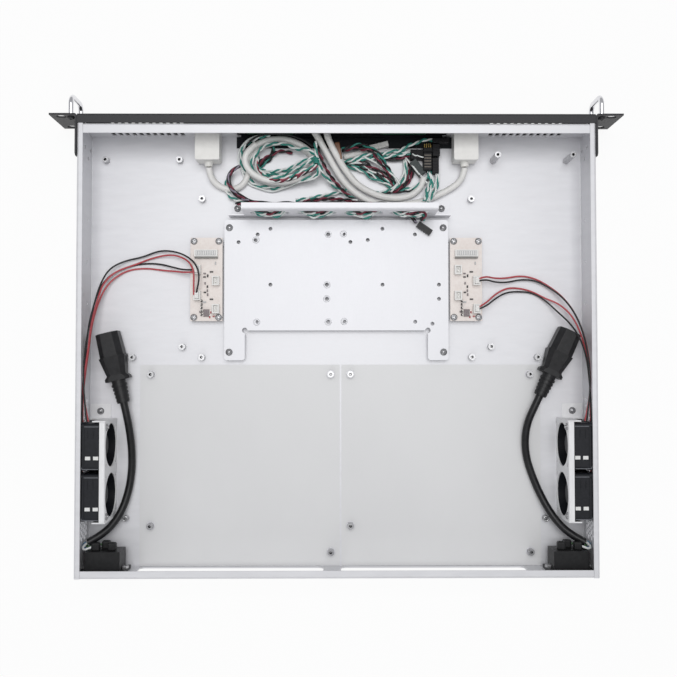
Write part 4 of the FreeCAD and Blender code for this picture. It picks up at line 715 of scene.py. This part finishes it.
right_route = [
    (-112, -159.3, 11), (-111, -152.5, 9.3), (-106.5, -146.3, 6.8), (-98.5, -141, 5.6), (-87.5, -135.5, 5.2),
    (-74, -130.3, 5), (-57, -127.3, 5), (-41, -127.5, 5.5), (-27, -131.5, 6.2), (-15.5, -138.2, 7),
    (-7.2, -146.1, 8), (-1.3, -154.1, 10), (4.1, -162.9, 12.2), (8.7, -171, 14.3), (12.2, -177.3, 15.5),
    (15, -182.2, 16.5)]
spare_route = [
    (7.6, -184, 19), (6.5, -181, 18.7), (4.1, -176.3, 17.5), (-0.6, -167.9, 14.5), (-9, -155.3, 10),
    (-17.8, -145, 8), (-29.7, -138.5, 6.4), (-40.7, -134.7, 5.6), (-52.2, -133.6, 5.2), (-63.7, -135.2, 5.2),
    (-71.2, -140.1, 5.4), (-75.5, -146.1, 6.4), (-76.5, -151.9, 8)]
lay_cord("port_cable_left", left_route, port_cable, white_sheath, ["usb_cable_left", "lead_coil"])
relief_ribs = 4
relief_pitch = 0.0014
relief_radius = 0.0030
groove_radius = 0.0028
plug_radius = 0.0031
plug_mouth = 0.0027
plug_overlap = 0.0010
plug_chamfer = 0.0005
rib_profile = ((relief_radius, -0.0006), (relief_radius, 0.0002), (groove_radius, 0.0004))
right_seat = (23, -195, 22.4)
spare_seat = (10.6, -195.9, 20.7)
port_plugs = bmesh.new()
for cable_end, plug_seat in ((right_route[-1], right_seat), (spare_route[0], spare_seat)):
    plug_foot = Vector(metres(cable_end))
    plug_way = Vector(metres(plug_seat)) - plug_foot
    profile = [(0.0, -plug_overlap), (plug_mouth, -plug_overlap)]
    for k in range(relief_ribs):
        profile += [(radius, k * relief_pitch + height) for radius, height in rib_profile]
    profile += [(plug_radius, relief_ribs * relief_pitch), (plug_radius, plug_way.length - plug_chamfer),
                (plug_mouth, plug_way.length), (0.0, plug_way.length)]
    plug_place = Matrix.Translation(plug_foot) @ plug_way.to_track_quat("Z", "Y").to_matrix().to_4x4()
    add_turned(port_plugs, profile, plug_place, 24)
port_plug_piece = make_piece("port_plugs", port_plugs, "white_plastic", white_sheath)
lay_cord("port_cable_right", right_route, port_cable, white_sheath, ["usb_cable_right"])
lay_cord("port_cable_spare", spare_route, port_cable, white_sheath, ["usb_tail"])

# The cable bar: a folded strip of pale sheet on two feet, with long holes that the leads are threaded through.
# A bundle of dark leads runs along it to a small black pin plug that hangs out at its right end.

dress(pale_sheet, "cable_bar")
dress(inlet_plastic, "pin_plug")
teal_wire = finish("teal_wire", (0.045, 0.30, 0.25), (0.03, 0.22, 0.18), 500, relief=0.04)
white_wire = finish("white_wire", (0.86, 0.88, 0.87), (0.78, 0.81, 0.79), 500, relief=0.04)
maroon_wire = finish("maroon_wire", (0.22, 0.03, 0.055), (0.15, 0.02, 0.04), 500, relief=0.04)
rose_wire = finish("rose_wire", (0.46, 0.09, 0.13), (0.36, 0.06, 0.09), 500, relief=0.04)
# Painted highlight: the pale lilac wire stands for the light down the middle of the dark sleeve.
sleeve_painted_highlight = finish("sleeve_painted_highlight", (0.30, 0.27, 0.33), (0.22, 0.19, 0.25), 500, relief=0.04)
lead_wire = 0.0017
lead_lay = 0.0140
bundle_lay = 0.0700
lead_step = 0.0009
lead_swing = 0.0210
lead_wander = 0.16
lead_lift = 0.10
lead_gather = 0.3
swing_offset = 2.3
lift_pace = 1.3
twist_offset = 0.9


def even_steps(line, step):
    """The same line at even steps."""
    spans = [max((b - a).length, 1e-9) for a, b in zip(line, line[1:])]
    count = max(2, round(sum(spans) / step))
    placed = []
    k = 0
    run = 0.0
    for i in range(count + 1):
        wanted = sum(spans) * i / count
        while k < len(spans) - 1 and run + spans[k] < wanted:
            run += spans[k]
            k += 1
        placed.append(line[k].lerp(line[k + 1], min(1.0, (wanted - run) / spans[k])))
    return placed


def lay_leads(name, points, leads, spread=0.0, lean=None, turn=0.0, replaced=()):
    """Thin wires side by side along one route: each lead is one wire, or a few twisted round each other."""
    line = even_steps(centre_line(points), lead_step)
    colours = list(dict.fromkeys(colour for lead in leads for colour in lead))
    widest = 0.0
    bm = bmesh.new()
    for k, lead in enumerate(leads):
        share = k / (len(leads) - 1) - 0.5 if len(leads) > 1 else 0.0
        lay = lead_lay if len(lead) < 3 else bundle_lay
        reach = lead_wire / 2 / math.sin(math.pi / len(lead)) if len(lead) > 1 else 0.0
        widest = max(widest, 2 * reach + lead_wire)
        for j, colour in enumerate(lead):
            strand = []
            for i, point in enumerate(line):
                ahead = heading(line, i)
                beside = ahead.cross(Vector((0, 0, 1))) if lean is None else lean - ahead * ahead.dot(lean)
                beside.normalize()
                over = beside.cross(ahead)
                opened = math.sqrt(abs(math.sin(math.pi * i / (len(line) - 1))))
                swing = math.tau * i * lead_step / lead_swing + swing_offset * k
                gathered = share * (lead_gather + (1 - lead_gather) * opened)
                shift = spread * (gathered + lead_wander * opened * math.sin(swing))
                lift = lead_lift * spread * math.cos(lift_pace * swing)
                angle = turn + twist_offset * k + math.tau * (i * lead_step / lay + j / len(lead))
                strand.append(point + beside * (shift + reach * math.cos(angle))
                              + over * (lift + reach * math.sin(angle)))
            add_strand(bm, strand, lead_wire / 2, wire_sides, colours.index(colour))
    laid = make_piece(name, bm, "lead_wire", *colours)
    if replaced:
        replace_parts(laid, *replaced)


teal_pair = (teal_wire, white_wire)
dark_pair = (maroon_wire, lead_black)
# The sleeved bundle: dark wires with a pale lilac one in the middle, which is a painted highlight along the sleeve.
lay_leads("sleeved_bundle", [
    (84.3, -160.2, 13.5), (88.9, -158.4, 13), (93, -154.8, 11.5), (95.1, -149.6, 10), (94.1, -144.1, 9.6),
    (90.4, -138.7, 10.4), (85.5, -134.2, 12.2), (79, -130.3, 14.8), (69.2, -126.3, 17.5), (50, -125.6, 18.5),
    (22, -125.8, 18.8), (-6, -125.4, 19.5), (-30, -125.8, 20.5), (-46, -124.8, 21.5), (-56, -121.5, 22.5),
    (-63, -116.5, 20.5), (-69, -111, 13.2)],
    ((lead_black,), (sleeve_painted_highlight, maroon_wire), (lead_black,)), spread=0.0032, replaced=["sleeved_leads"])
oval_xs = (57.5, 17.5, -22.5, -62.5)
oval_z = 26.2
oval_weave = ((14, -119.8), (6, -115.8), (-6, -115.8), (-14, -119.8), (-20, -123.6))
woven = [(86, -126.2, 18), (78, -123.6, 23.5)]
for oval_x in oval_xs:
    woven += [(oval_x + along, y, oval_z) for along, y in oval_weave]
woven = woven[:-2] + [(-75.5, -117.8, 23.5), (-74.5, -112.8, 16.5)]
lay_leads("bar_leads", woven, (teal_pair, (white_wire,), teal_pair, dark_pair), spread=0.0075,
          lean=Vector((0, -0.3, 1)))

# The leads in the coil: thin stranded wires in coloured vinyl, twisted in pairs, laid round inside the white coil.
# They are gathered by a wrap of teal wire where the coil closes, and run on to the cable bar.

coil_leads = {
    "coil_leads_outer": ((teal_pair, (white_wire,)), 0.0026, (
        (58.2, -187.8, 14), (67, -186.8, 13.5), (74.1, -184.6, 12), (80.1, -181.2, 9), (84.5, -177.1, 6),
        (86, -171.3, 4), (85, -164.4, 3.4), (82.8, -157.7, 3.4), (79.7, -151, 3.4), (74.4, -146, 3.4),
        (68, -143.2, 3.4), (60.9, -141.9, 3.4), (55.4, -141.3, 3.4), (49.3, -142.4, 4.5), (42, -145.1, 7),
        (34.9, -147.6, 10.5), (25.5, -148.4, 13), (18.7, -150.1, 15), (15.3, -153.8, 17), (15.7, -157.6, 18.5))),
    "coil_lead_black": (((lead_black,),), 0.0, (
        (78.6, -179.8, 11), (73.5, -184.2, 14), (65.1, -187.3, 15.5), (52.9, -188.1, 16), (42.5, -187.3, 15.5),
        (34.7, -185.2, 15), (26.8, -181.8, 15.5), (20.7, -176.6, 17))),
    "coil_leads_inner": ((teal_pair,), 0.0, (
        (18, -168.6, 19), (23.7, -173.5, 17.5), (28.5, -175.2, 15.5), (33.4, -174.7, 13.5), (39.1, -177.1, 12.5),
        (44.3, -180.1, 13), (50.9, -180.1, 13.5), (58.3, -179.9, 13), (63.6, -178.4, 12), (69.6, -173, 9),
        (73.8, -168.2, 8), (75.4, -162.1, 7.5), (73.6, -156.9, 7), (68.9, -153.1, 6), (61.4, -150.1, 5.5),
        (52.6, -149.3, 6), (43.7, -150, 7.5), (34.8, -152.2, 10.5), (26.4, -154.9, 14), (18.5, -159, 17.5))),
    "coil_leads_red": ((dark_pair,), 0.0, (
        (39.1, -174, 4), (46.5, -175.6, 5), (52.6, -174.8, 6.3), (57.9, -171.2, 6.6), (63.6, -169, 6.4),
        (68, -165.5, 6.4), (68.7, -159.2, 6.8), (65.6, -153.4, 8.8), (60, -148.8, 12.5), (52.8, -146.2, 15.8),
        (43.2, -147.4, 16.6), (34.6, -150.2, 17), (26.7, -153.9, 17.6), (16.7, -158.2, 19))),
    "coil_leads_low": ((teal_pair, teal_pair), 0.0036, (
        (66.1, -158.2, 3.2), (57.2, -155.5, 3.4), (48.3, -156.2, 4.2), (41.2, -158.5, 6), (34.9, -160.8, 8.5),
        (28.7, -163.4, 11.5), (22.9, -165.4, 15), (18.2, -167.1, 18))),
    "coil_leads_white": ((teal_pair, (rose_wire,), (white_wire,)), 0.0030, (
        (70.1, -170.8, 4.5), (70.6, -163, 5.5), (67.9, -155.8, 8), (62.3, -150.1, 12), (54.6, -147.4, 15.5),
        (45.9, -148, 16.6), (37.2, -150.3, 16.8), (29.3, -153.9, 17.3), (22.4, -156.6, 18.3),
        (16.7, -159.4, 19.5))),
    "coil_leads_cross": (((teal_wire, lead_black), (lead_black,)), 0.0020, (
        (55.6, -186.2, 4), (55.8, -183, 3.6), (56.2, -177.8, 3.3), (57.3, -172.5, 3), (60.5, -168.5, 3),
        (65.2, -164.9, 3), (69.1, -160.9, 3.2), (71.2, -156.3, 3.4))),
    "tie_leads_green": ((teal_pair,), 0.0, (
        (18.7, -180.3, 19.5), (18.3, -173.9, 20.5), (17.3, -167.3, 21), (14.9, -159.4, 19.5), (12.4, -153.6, 16),
        (9.4, -150.7, 12.5), (5.9, -147.2, 10), (2, -143.5, 9), (-2.4, -140.6, 8.5), (-7.6, -137, 9),
        (-12.9, -133, 11.5), (-18, -129.2, 15))),
    "tie_leads_maroon": ((dark_pair,), 0.0, (
        (16.6, -173.5, 20.5), (13.7, -165.9, 19.5), (10.3, -158.6, 17), (6.4, -152.9, 13.5), (2.3, -147.9, 11),
        (-2.4, -142.5, 10.5), (-7.6, -137.3, 10.5), (-13.3, -132.2, 12), (-18.9, -128.3, 15))),
    "bar_leads_teal": ((teal_pair,), 0.0, (
        (36, -132.2, 3.4), (28, -133.1, 3.4), (18.3, -135.2, 3.6), (8.6, -136.9, 4), (1.5, -137.9, 4.6),
        (-5.5, -139.4, 6), (-11.6, -142, 8))),
    "bar_leads_red": ((dark_pair,), 0.0, (
        (29.8, -131.4, 3.2), (22.7, -132.2, 3.4), (14.8, -132.9, 3.8), (6, -133.5, 4.4), (-2.9, -132.8, 5),
        (-11.6, -131.5, 6.5), (-21.2, -129.3, 9))),
    "sleeve_leads": ((teal_pair,), 0.0, (
        (92.8, -157.1, 4), (96.6, -151.9, 4), (97.8, -145.6, 4.2), (97.1, -139.7, 5), (94, -134.7, 6.5),
        (88.6, -131.4, 9), (81.3, -129.3, 12), (72, -127.5, 15), (63, -125.8, 18)))}
for turn, (route_name, (leads, spread, route)) in enumerate(coil_leads.items()):
    lay_leads(route_name, route, leads, spread, turn=0.7 * turn)
wrap = bmesh.new()
wrap_middle = Vector((0.0175, -0.1630, 0.0188))
wrap_turns = 3
wrap_steps = 20
wrap_reach = (0.0022, 0.0034)
wrap_pitch = 0.0017
wrap_line = []
for k in range(wrap_turns * wrap_steps + 1):
    angle = math.tau * k / wrap_steps
    along = wrap_pitch * (k / wrap_steps - wrap_turns / 2)
    wrap_line.append(wrap_middle + Vector((wrap_reach[0] * math.cos(angle), along, wrap_reach[1] * math.sin(angle))))
add_strand(wrap, wrap_line, lead_wire / 2, wire_sides)
make_piece("coil_wrap", wrap, "lead_wire", teal_wire)

# The hank at the right of the coil: more twisted pairs in a loose tangle, some ending in black pin housings.
# A white plug, a short white sleeve and a flag of brown tape lie among them on the floor of the pan.

housing_black = finish("housing_black", (0.011, 0.010, 0.013), (0.006, 0.006, 0.007), 600, (0.42, 0.58), 0.08,
                       shine=0.22)
housing_grey = finish("housing_grey", (0.060, 0.072, 0.072), (0.04, 0.05, 0.05), 600, (0.4, 0.55), 0.08, shine=0.3)
contact_brown = finish("contact_brown", (0.11, 0.085, 0.06), (0.07, 0.055, 0.04), 900)
tape_brown = finish("tape_brown", (0.22, 0.085, 0.03), (0.13, 0.05, 0.02), 300, relief=0.1)
pin_gold = finish("gilt_pin", (0.62, 0.45, 0.16), (0.48, 0.33, 0.10), 900, (0.2, 0.35), 0.03, 0.9)
pan_floor_z = 0.0012
pin_pitch = 0.00254
housing_edge = 0.0005
ridge_wide = 0.0011
ridge_share = 0.82
ridge_tall = 0.0004
ridge_rise = 0.00015
ridge_edge = 0.00012
open_tall = 0.0105
housing_blocks = (
    (-0.0913, -0.1839, 0.0145, 0.0048, 0.0090, 0, 0), (-0.0872, -0.1752, 0.0065, 0.0110, 0.0100, 0, 0),
    (-0.0796, -0.1651, 0.0074, 0.0158, 0.0110, 0, 0), (-0.0867, -0.1618, 0.0059, 0.0137, 0.0090, 0, 0),
    (-0.0705, -0.1719, 0.0112, 0.0086, 0.0080, 0, 0), (-0.0712, -0.1604, 0.0068, 0.0150, 0.0080, 38, 1))
housings = bmesh.new()
for x, y, wide, deep, tall, degrees, index in housing_blocks:
    turn = math.radians(degrees)
    base_z = strip_top_z if y < strip_edge_y else pan_floor_z
    add_block(housings, (x, y, base_z + tall / 2), (wide, deep, tall), housing_edge, index, turn)
    pins = int(max(wide, deep) / pin_pitch) - 1
    for k in range(pins):
        step = (k - (pins - 1) / 2) * pin_pitch
        offset = Matrix.Rotation(turn, 3, "Z") @ Vector((step, 0, 0) if wide > deep else (0, step, 0))
        plan = (ridge_wide, deep * ridge_share) if wide > deep else (wide * ridge_share, ridge_wide)
        add_block(housings, (x + offset.x, y + offset.y, base_z + tall + ridge_rise), (*plan, ridge_tall), ridge_edge,
                  2 if tall > open_tall else index, turn)
header_middle = (-0.0800, -0.1757)
header_size = (0.0082, 0.0040, 0.0088)
header_pin_size = (0.0007, 0.0046, 0.0007)
header_pin_pitch = 0.0018
header_pin_y = header_middle[1] - 0.0034
header_pin_heights = (0.0045, 0.0070)
header_pins = 4
add_block(housings, (*header_middle, pan_floor_z + header_size[2] / 2), header_size, plug_edge)
for k in range(header_pins):
    for height in header_pin_heights:
        pin_x = header_middle[0] + (k - (header_pins - 1) / 2) * header_pin_pitch
        add_block(housings, (pin_x, header_pin_y, pan_floor_z + height), header_pin_size, fine_edge, 3)
housing_piece = make_piece("pin_housings", housings, "black_plastic", housing_black, housing_grey, contact_brown,
                           pin_gold)
slant = math.radians(14)
tape_slant = math.radians(10)
white_plug = (-0.0368, -0.1798)
white_plug_size = (0.0180, 0.0050, 0.0056)
white_plug_edge = 0.0006
grip_count = 5
grip_pitch = 0.0030
grip_size = (0.0012, 0.0040, 0.0004)
grip_z = strip_top_z + white_plug_size[2] + 0.0001
sleeve_middle = (-0.0183, -0.1732)
sleeve_size = (0.0250, 0.0052, 0.0048)
sleeve_round = 0.0016
tape_middle = (-0.0014, -0.1732, 0.0158)
tape_size = (0.0044, 0.0150, 0.0012)
stub_route = ((-66.5, -172.1, 9.4), (-68.7, -169.9, 10.4), (-70.9, -170.6, 10.4), (-73.1, -169.2, 10.6),
              (-76.6, -168.4, 11.2))
stub_radius = 0.0006
fittings = bmesh.new()
add_block(fittings, (*white_plug, strip_top_z + white_plug_size[2] / 2), white_plug_size, white_plug_edge, 0, slant)
for k in range(grip_count):
    step = Matrix.Rotation(slant, 3, "Z") @ Vector(((k - (grip_count - 1) / 2) * grip_pitch, 0, 0))
    add_block(fittings, (white_plug[0] + step.x, white_plug[1] + step.y, grip_z), grip_size, fine_edge, 0, slant)
add_block(fittings, (*sleeve_middle, pan_floor_z + sleeve_size[2] / 2), sleeve_size, sleeve_round, 0, slant)
add_block(fittings, tape_middle, tape_size, housing_edge, 1, tape_slant)
add_strand(fittings, centre_line(stub_route), stub_radius, wire_sides, 2)
fitting_piece = make_piece("hank_fittings", fittings, "white_plastic", nylon, tape_brown, white_wire)
ribbon_leads = ((lead_black,), (maroon_wire,), (lead_black,), (white_wire,), (lead_black,), (teal_wire,), (lead_black,),
                (white_wire,), (teal_wire,))
hank_leads = {
    "hank_leads_teal": ((teal_pair,), 0.0, (
        (-5.5, -165.6, 6), (-13.4, -166.9, 8), (-21.3, -170, 10), (-30.8, -171.6, 11.5), (-37.8, -170.2, 12),
        (-44, -173, 12), (-50.1, -174.2, 11.6), (-54.5, -173.8, 11.2), (-59, -176.5, 10.8), (-63.8, -180, 10.4),
        (-69.6, -181, 10), (-74.1, -183.9, 9), (-78.6, -185.2, 8), (-85, -185, 6.5))),
    "hank_leads_upper": ((teal_pair, teal_pair), 0.0030, (
        (-13.5, -166.1, 6), (-21.3, -168.3, 7.4), (-30.1, -170.3, 8.8), (-38, -169.3, 9.4), (-45, -170.6, 9.4),
        (-50.7, -173.2, 9.2), (-56.5, -172.5, 8.6), (-61.4, -174, 7.6), (-66.4, -174, 6))),
    "hank_leads_dark": ((dark_pair, (lead_black,)), 0.0022, (
        (-31.2, -170.8, 4.4), (-39.1, -169.6, 5), (-47, -168.7, 5), (-55.9, -168.6, 5), (-62.9, -168.9, 5),
        (-70, -169.5, 5))),
    "hank_leads_maroon": (((teal_wire, lead_black), dark_pair), 0.0034, (
        (-4.6, -175.6, 8), (-12.5, -177.7, 10), (-21.2, -178, 11.5), (-28.2, -176.3, 13), (-33.3, -172.3, 14.4),
        (-37.3, -167.1, 14), (-41.3, -162.1, 12), (-45.4, -156.9, 9.5), (-48.1, -151, 8), (-50.4, -145, 7))),
    "hank_ribbon": (ribbon_leads, 0.0086, (
        (-7.3, -165.2, 4), (-16.1, -164.2, 5.4), (-25.8, -159.9, 6.4), (-35.5, -154.5, 6.4), (-43.4, -149.4, 6),
        (-50.5, -144.3, 5.4))),
    "hank_leads_white": ((teal_pair, (white_wire,)), 0.0022, (
        (-59.8, -167.4, 6), (-60.5, -161, 7), (-59.9, -154.7, 7.4), (-57.4, -148.9, 7.4), (-52.5, -143.8, 8),
        (-46.8, -140.2, 7))),
    "hank_leads_back": ((dark_pair, dark_pair), 0.0026, (
        (-60.4, -169, 4), (-64.7, -165.5, 4.6), (-66.1, -159.3, 4.8), (-64.3, -152.2, 4.8), (-61.1, -146.5, 5),
        (-55.8, -142.7, 5.4), (-49.2, -140.3, 5))),
    "hank_lead_single": (((white_wire,),), 0.0, (
        (-23.9, -169.3, 9), (-32.7, -165.2, 10), (-38.4, -161.2, 10), (-43.2, -157.1, 10), (-48.4, -154.2, 9.8),
        (-52.8, -149.8, 9.4), (-55.1, -145.1, 9))),
    "hank_lead_side": (((white_wire,),), 0.0, (
        (-60.3, -170.3, 5), (-63.7, -166, 6.6), (-67.1, -160.9, 9), (-71.1, -155.6, 9), (-75, -152.1, 8),
        (-79.9, -146.4, 7))),
    "hank_leads_low": ((teal_pair, (lead_black,)), 0.0020, (
        (-32, -138.2, 3.4), (-40.9, -138.5, 3.6), (-47.9, -140.5, 4), (-54.1, -140.2, 4), (-61.2, -141.2, 4.2),
        (-67.3, -140.9, 5), (-72, -144.5, 6.4), (-76.8, -147.6, 7.4), (-80.3, -151.2, 7.4), (-82.2, -157, 6.5))),
    "hank_leads_end": ((teal_pair, teal_pair), 0.0024, (
        (-81.2, -157.4, 6.5), (-83.4, -150.7, 7.5), (-82.3, -144.2, 9), (-79.3, -137, 12), (-76.1, -129.9, 17))),
    "hank_leads_last": ((teal_pair, (white_wire,)), 0.0022, (
        (-88, -156.2, 6), (-88.9, -149.8, 7.5), (-86.2, -142.4, 9), (-82.3, -135.1, 12.5), (-79, -128.4, 18)))}
for turn, (route_name, (leads, spread, route)) in enumerate(hank_leads.items()):
    plugged = route_name == "hank_leads_teal"
    lay_leads(route_name, route, leads, spread, turn=0.9 * turn, replaced=["lead_hank"] if plugged else ())

# The screws: pan heads with a cross recess, cold formed and bright zinc plated, those in the ears blackened.
# They hold the walls, ears, handles, tray, boards, fans and inlets to the sheet.

screw_rim = 0.0030
screw_crown = 0.0020
head_profile = ((0.0, 0.0), (screw_rim, 0.0), (screw_rim, 0.00045), (0.00294, 0.0008), (0.00274, 0.00122),
                (0.00236, 0.0016), (0.0018, 0.00186), (0.0009, 0.00198), (0.0, screw_crown))
recess_long = 0.0034
recess_wide = 0.00095
recess_deep = 0.0012
recess_foot = 0.55
shank_radius = 0.0014
shank_chamfer = 0.0003
shank_overlap = 0.0001
under_rim = 0.0028
black_front_y = -0.186
black_side_x = 0.2165


def separate_forms(node):
    """The points of each separate solid in a CAD node."""
    bm = bmesh.new()
    bm.from_mesh(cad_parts[node].data)
    bmesh.ops.remove_doubles(bm, verts=bm.verts, dist=1e-6)
    seen = set()
    forms = []
    for first in bm.verts:
        if first in seen:
            continue
        seen.add(first)
        waiting = [first]
        points = []
        while waiting:
            vert = waiting.pop()
            points.append(vert.co.copy())
            for edge in vert.link_edges:
                other = edge.other_vert(vert)
                if other not in seen:
                    seen.add(other)
                    waiting.append(other)
        forms.append(points)
    bm.free()
    return forms


def box_of(points):
    """The lowest and the highest corner round some points."""
    return [Vector([pick(p[k] for p in points) for k in range(3)]) for pick in (min, max)]


def off_axis(point, middle, axis):
    """A point's distance from the line that runs through the middle along one axis."""
    return math.hypot(*[point[k] - middle[k] for k in range(3) if k != axis])


def screw_head():
    """One pan head on the Z axis with a cross pressed into its crown."""
    head = bmesh.new()
    add_turned(head, head_profile, Matrix.Identity(4), 28)
    cross = bmesh.new()
    for turn in (0.0, math.pi / 2):
        for vert in bmesh.ops.create_cube(cross, size=1.0)["verts"]:
            share, height = (recess_foot, -recess_deep) if vert.co.z < 0 else (1.0, recess_deep / 2)
            corner = Vector((vert.co.x * recess_long * share, vert.co.y * recess_wide * share, screw_crown + height))
            vert.co = Matrix.Rotation(turn, 3, "Z") @ corner
    head_object = bpy.data.objects.new("screw_head", as_mesh("screw_head", head))
    cross_object = bpy.data.objects.new("screw_cross", as_mesh("screw_cross", cross))
    scene.collection.objects.link(head_object)
    scene.collection.objects.link(cross_object)
    cut = head_object.modifiers.new("cross", "BOOLEAN")
    cut.operation = "DIFFERENCE"
    cut.use_self = True
    cut.object = cross_object
    bpy.context.view_layer.update()
    made = bpy.data.meshes.new_from_object(head_object.evaluated_get(bpy.context.evaluated_depsgraph_get()))
    bpy.data.objects.remove(head_object)
    bpy.data.objects.remove(cross_object)
    return made


def screw_set(node, name, draws):
    """Screws in the places of a CAD node's plain ones, each turned as it happened to stop."""
    bm = bmesh.new()
    for points in separate_forms(node):
        low, high = box_of(points)
        middle = (low + high) / 2
        axis = min(range(3), key=lambda k: max(off_axis(p, middle, k) for p in points))
        rim = [p[axis] for p in points if off_axis(p, middle, axis) > under_rim]
        way = 1 if abs(low[axis] - min(rim)) > abs(high[axis] - max(rim)) else -1
        tip, seat = (low[axis], min(rim)) if way == 1 else (high[axis], max(rim))
        origin = middle.copy()
        origin[axis] = seat
        facing = Vector([way if k == axis else 0 for k in range(3)])
        place = (Matrix.Translation(origin) @ facing.to_track_quat("Z", "Y").to_matrix().to_4x4()
                 @ Matrix.Rotation(draws.uniform(0, math.pi), 4, "Z"))
        black = 1 if origin.y < black_front_y or abs(origin.x) > black_side_x else 0
        old_verts = len(bm.verts)
        old_faces = len(bm.faces)
        bm.from_mesh(cross_head)
        bm.verts.ensure_lookup_table()
        bm.faces.ensure_lookup_table()
        for vert in bm.verts[old_verts:]:
            vert.co = place @ vert.co
        for face in bm.faces[old_faces:]:
            face.material_index = black
        reach = abs(tip - seat)
        add_turned(bm, ((0.0, -reach), (shank_radius - shank_chamfer, -reach), (shank_radius, -reach + shank_chamfer),
                        (shank_radius, shank_overlap), (0.0, shank_overlap)), place, 14, black)
    return make_piece(name, bm, "steel_fastener", bright_zinc, powder_coat)


cross_head = screw_head()
screw_draws = random.Random(11)
for node, name in (("machine_screws", "cross_screws"), ("inlet_screws", "cross_inlet_screws")):
    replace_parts(screw_set(node, name, screw_draws), node)

# The threads: every open standoff and post has a cut thread in its bore, coloured near black as painted shade down the
# bore.
# Two more riveted bushes stand on the floor beside the fans, where the pigtails pass.

# Painted shade: the near-black colour of the threads darkens the bores, where shade falls.
bore_shade_paint = finish("bore_painted_shade", (0.05, 0.05, 0.052), (0.025, 0.025, 0.027), 900, (0.35, 0.5), 0.1, 0.6)
thread_pitch = 0.0005
thread_turns = 5
thread_sink = 0.0004
thread_crest = 0.00035
thread_root = 0.00005
top_band = 0.002
solid_share = 0.75
bores = bmesh.new()
for node_name in ("floor_standoffs", *both("board_standoffs"), "tall_posts"):
    for points in separate_forms(node_name):
        low, high = box_of(points)
        middle = (low + high) / 2
        reaches = [off_axis(p, middle, 2) for p in points if p.z > high.z - top_band]
        bore = min(reaches)
        if bore > solid_share * max(reaches):
            continue
        profile = [(bore, -thread_sink)]
        for k in range(thread_turns):
            profile += [(bore - thread_crest, -thread_sink - (k + 0.5) * thread_pitch),
                        (bore - thread_root, -thread_sink - (k + 1) * thread_pitch)]
        profile.append((bore, -thread_sink - thread_turns * thread_pitch))
        add_turned(bores, profile, Matrix.Translation((middle.x, middle.y, high.z)), 20, ring=True)
bush_outer = 0.0026
bush_bore = 0.0014
bush_top_z = 0.0072
bush_chamfer = 0.0003
bush_flare = 0.0002
bush_places = ((0.1842, 0.1466), (-0.1825, 0.1472))
bush_profile = ((bush_bore, pan_floor_z), (bush_outer, pan_floor_z), (bush_outer, bush_top_z - bush_chamfer),
                (bush_outer - bush_chamfer, bush_top_z), (bush_bore + bush_flare, bush_top_z),
                (bush_bore, bush_top_z - bush_flare))
bushes = bmesh.new()
for x, y in bush_places:
    add_turned(bushes, bush_profile, Matrix.Translation((x, y, 0)), 28, ring=True)
make_piece("bore_threads", bores, "steel_fastener", bore_shade_paint)
make_piece("floor_bushes", bushes, "steel_fastener", bright_zinc)
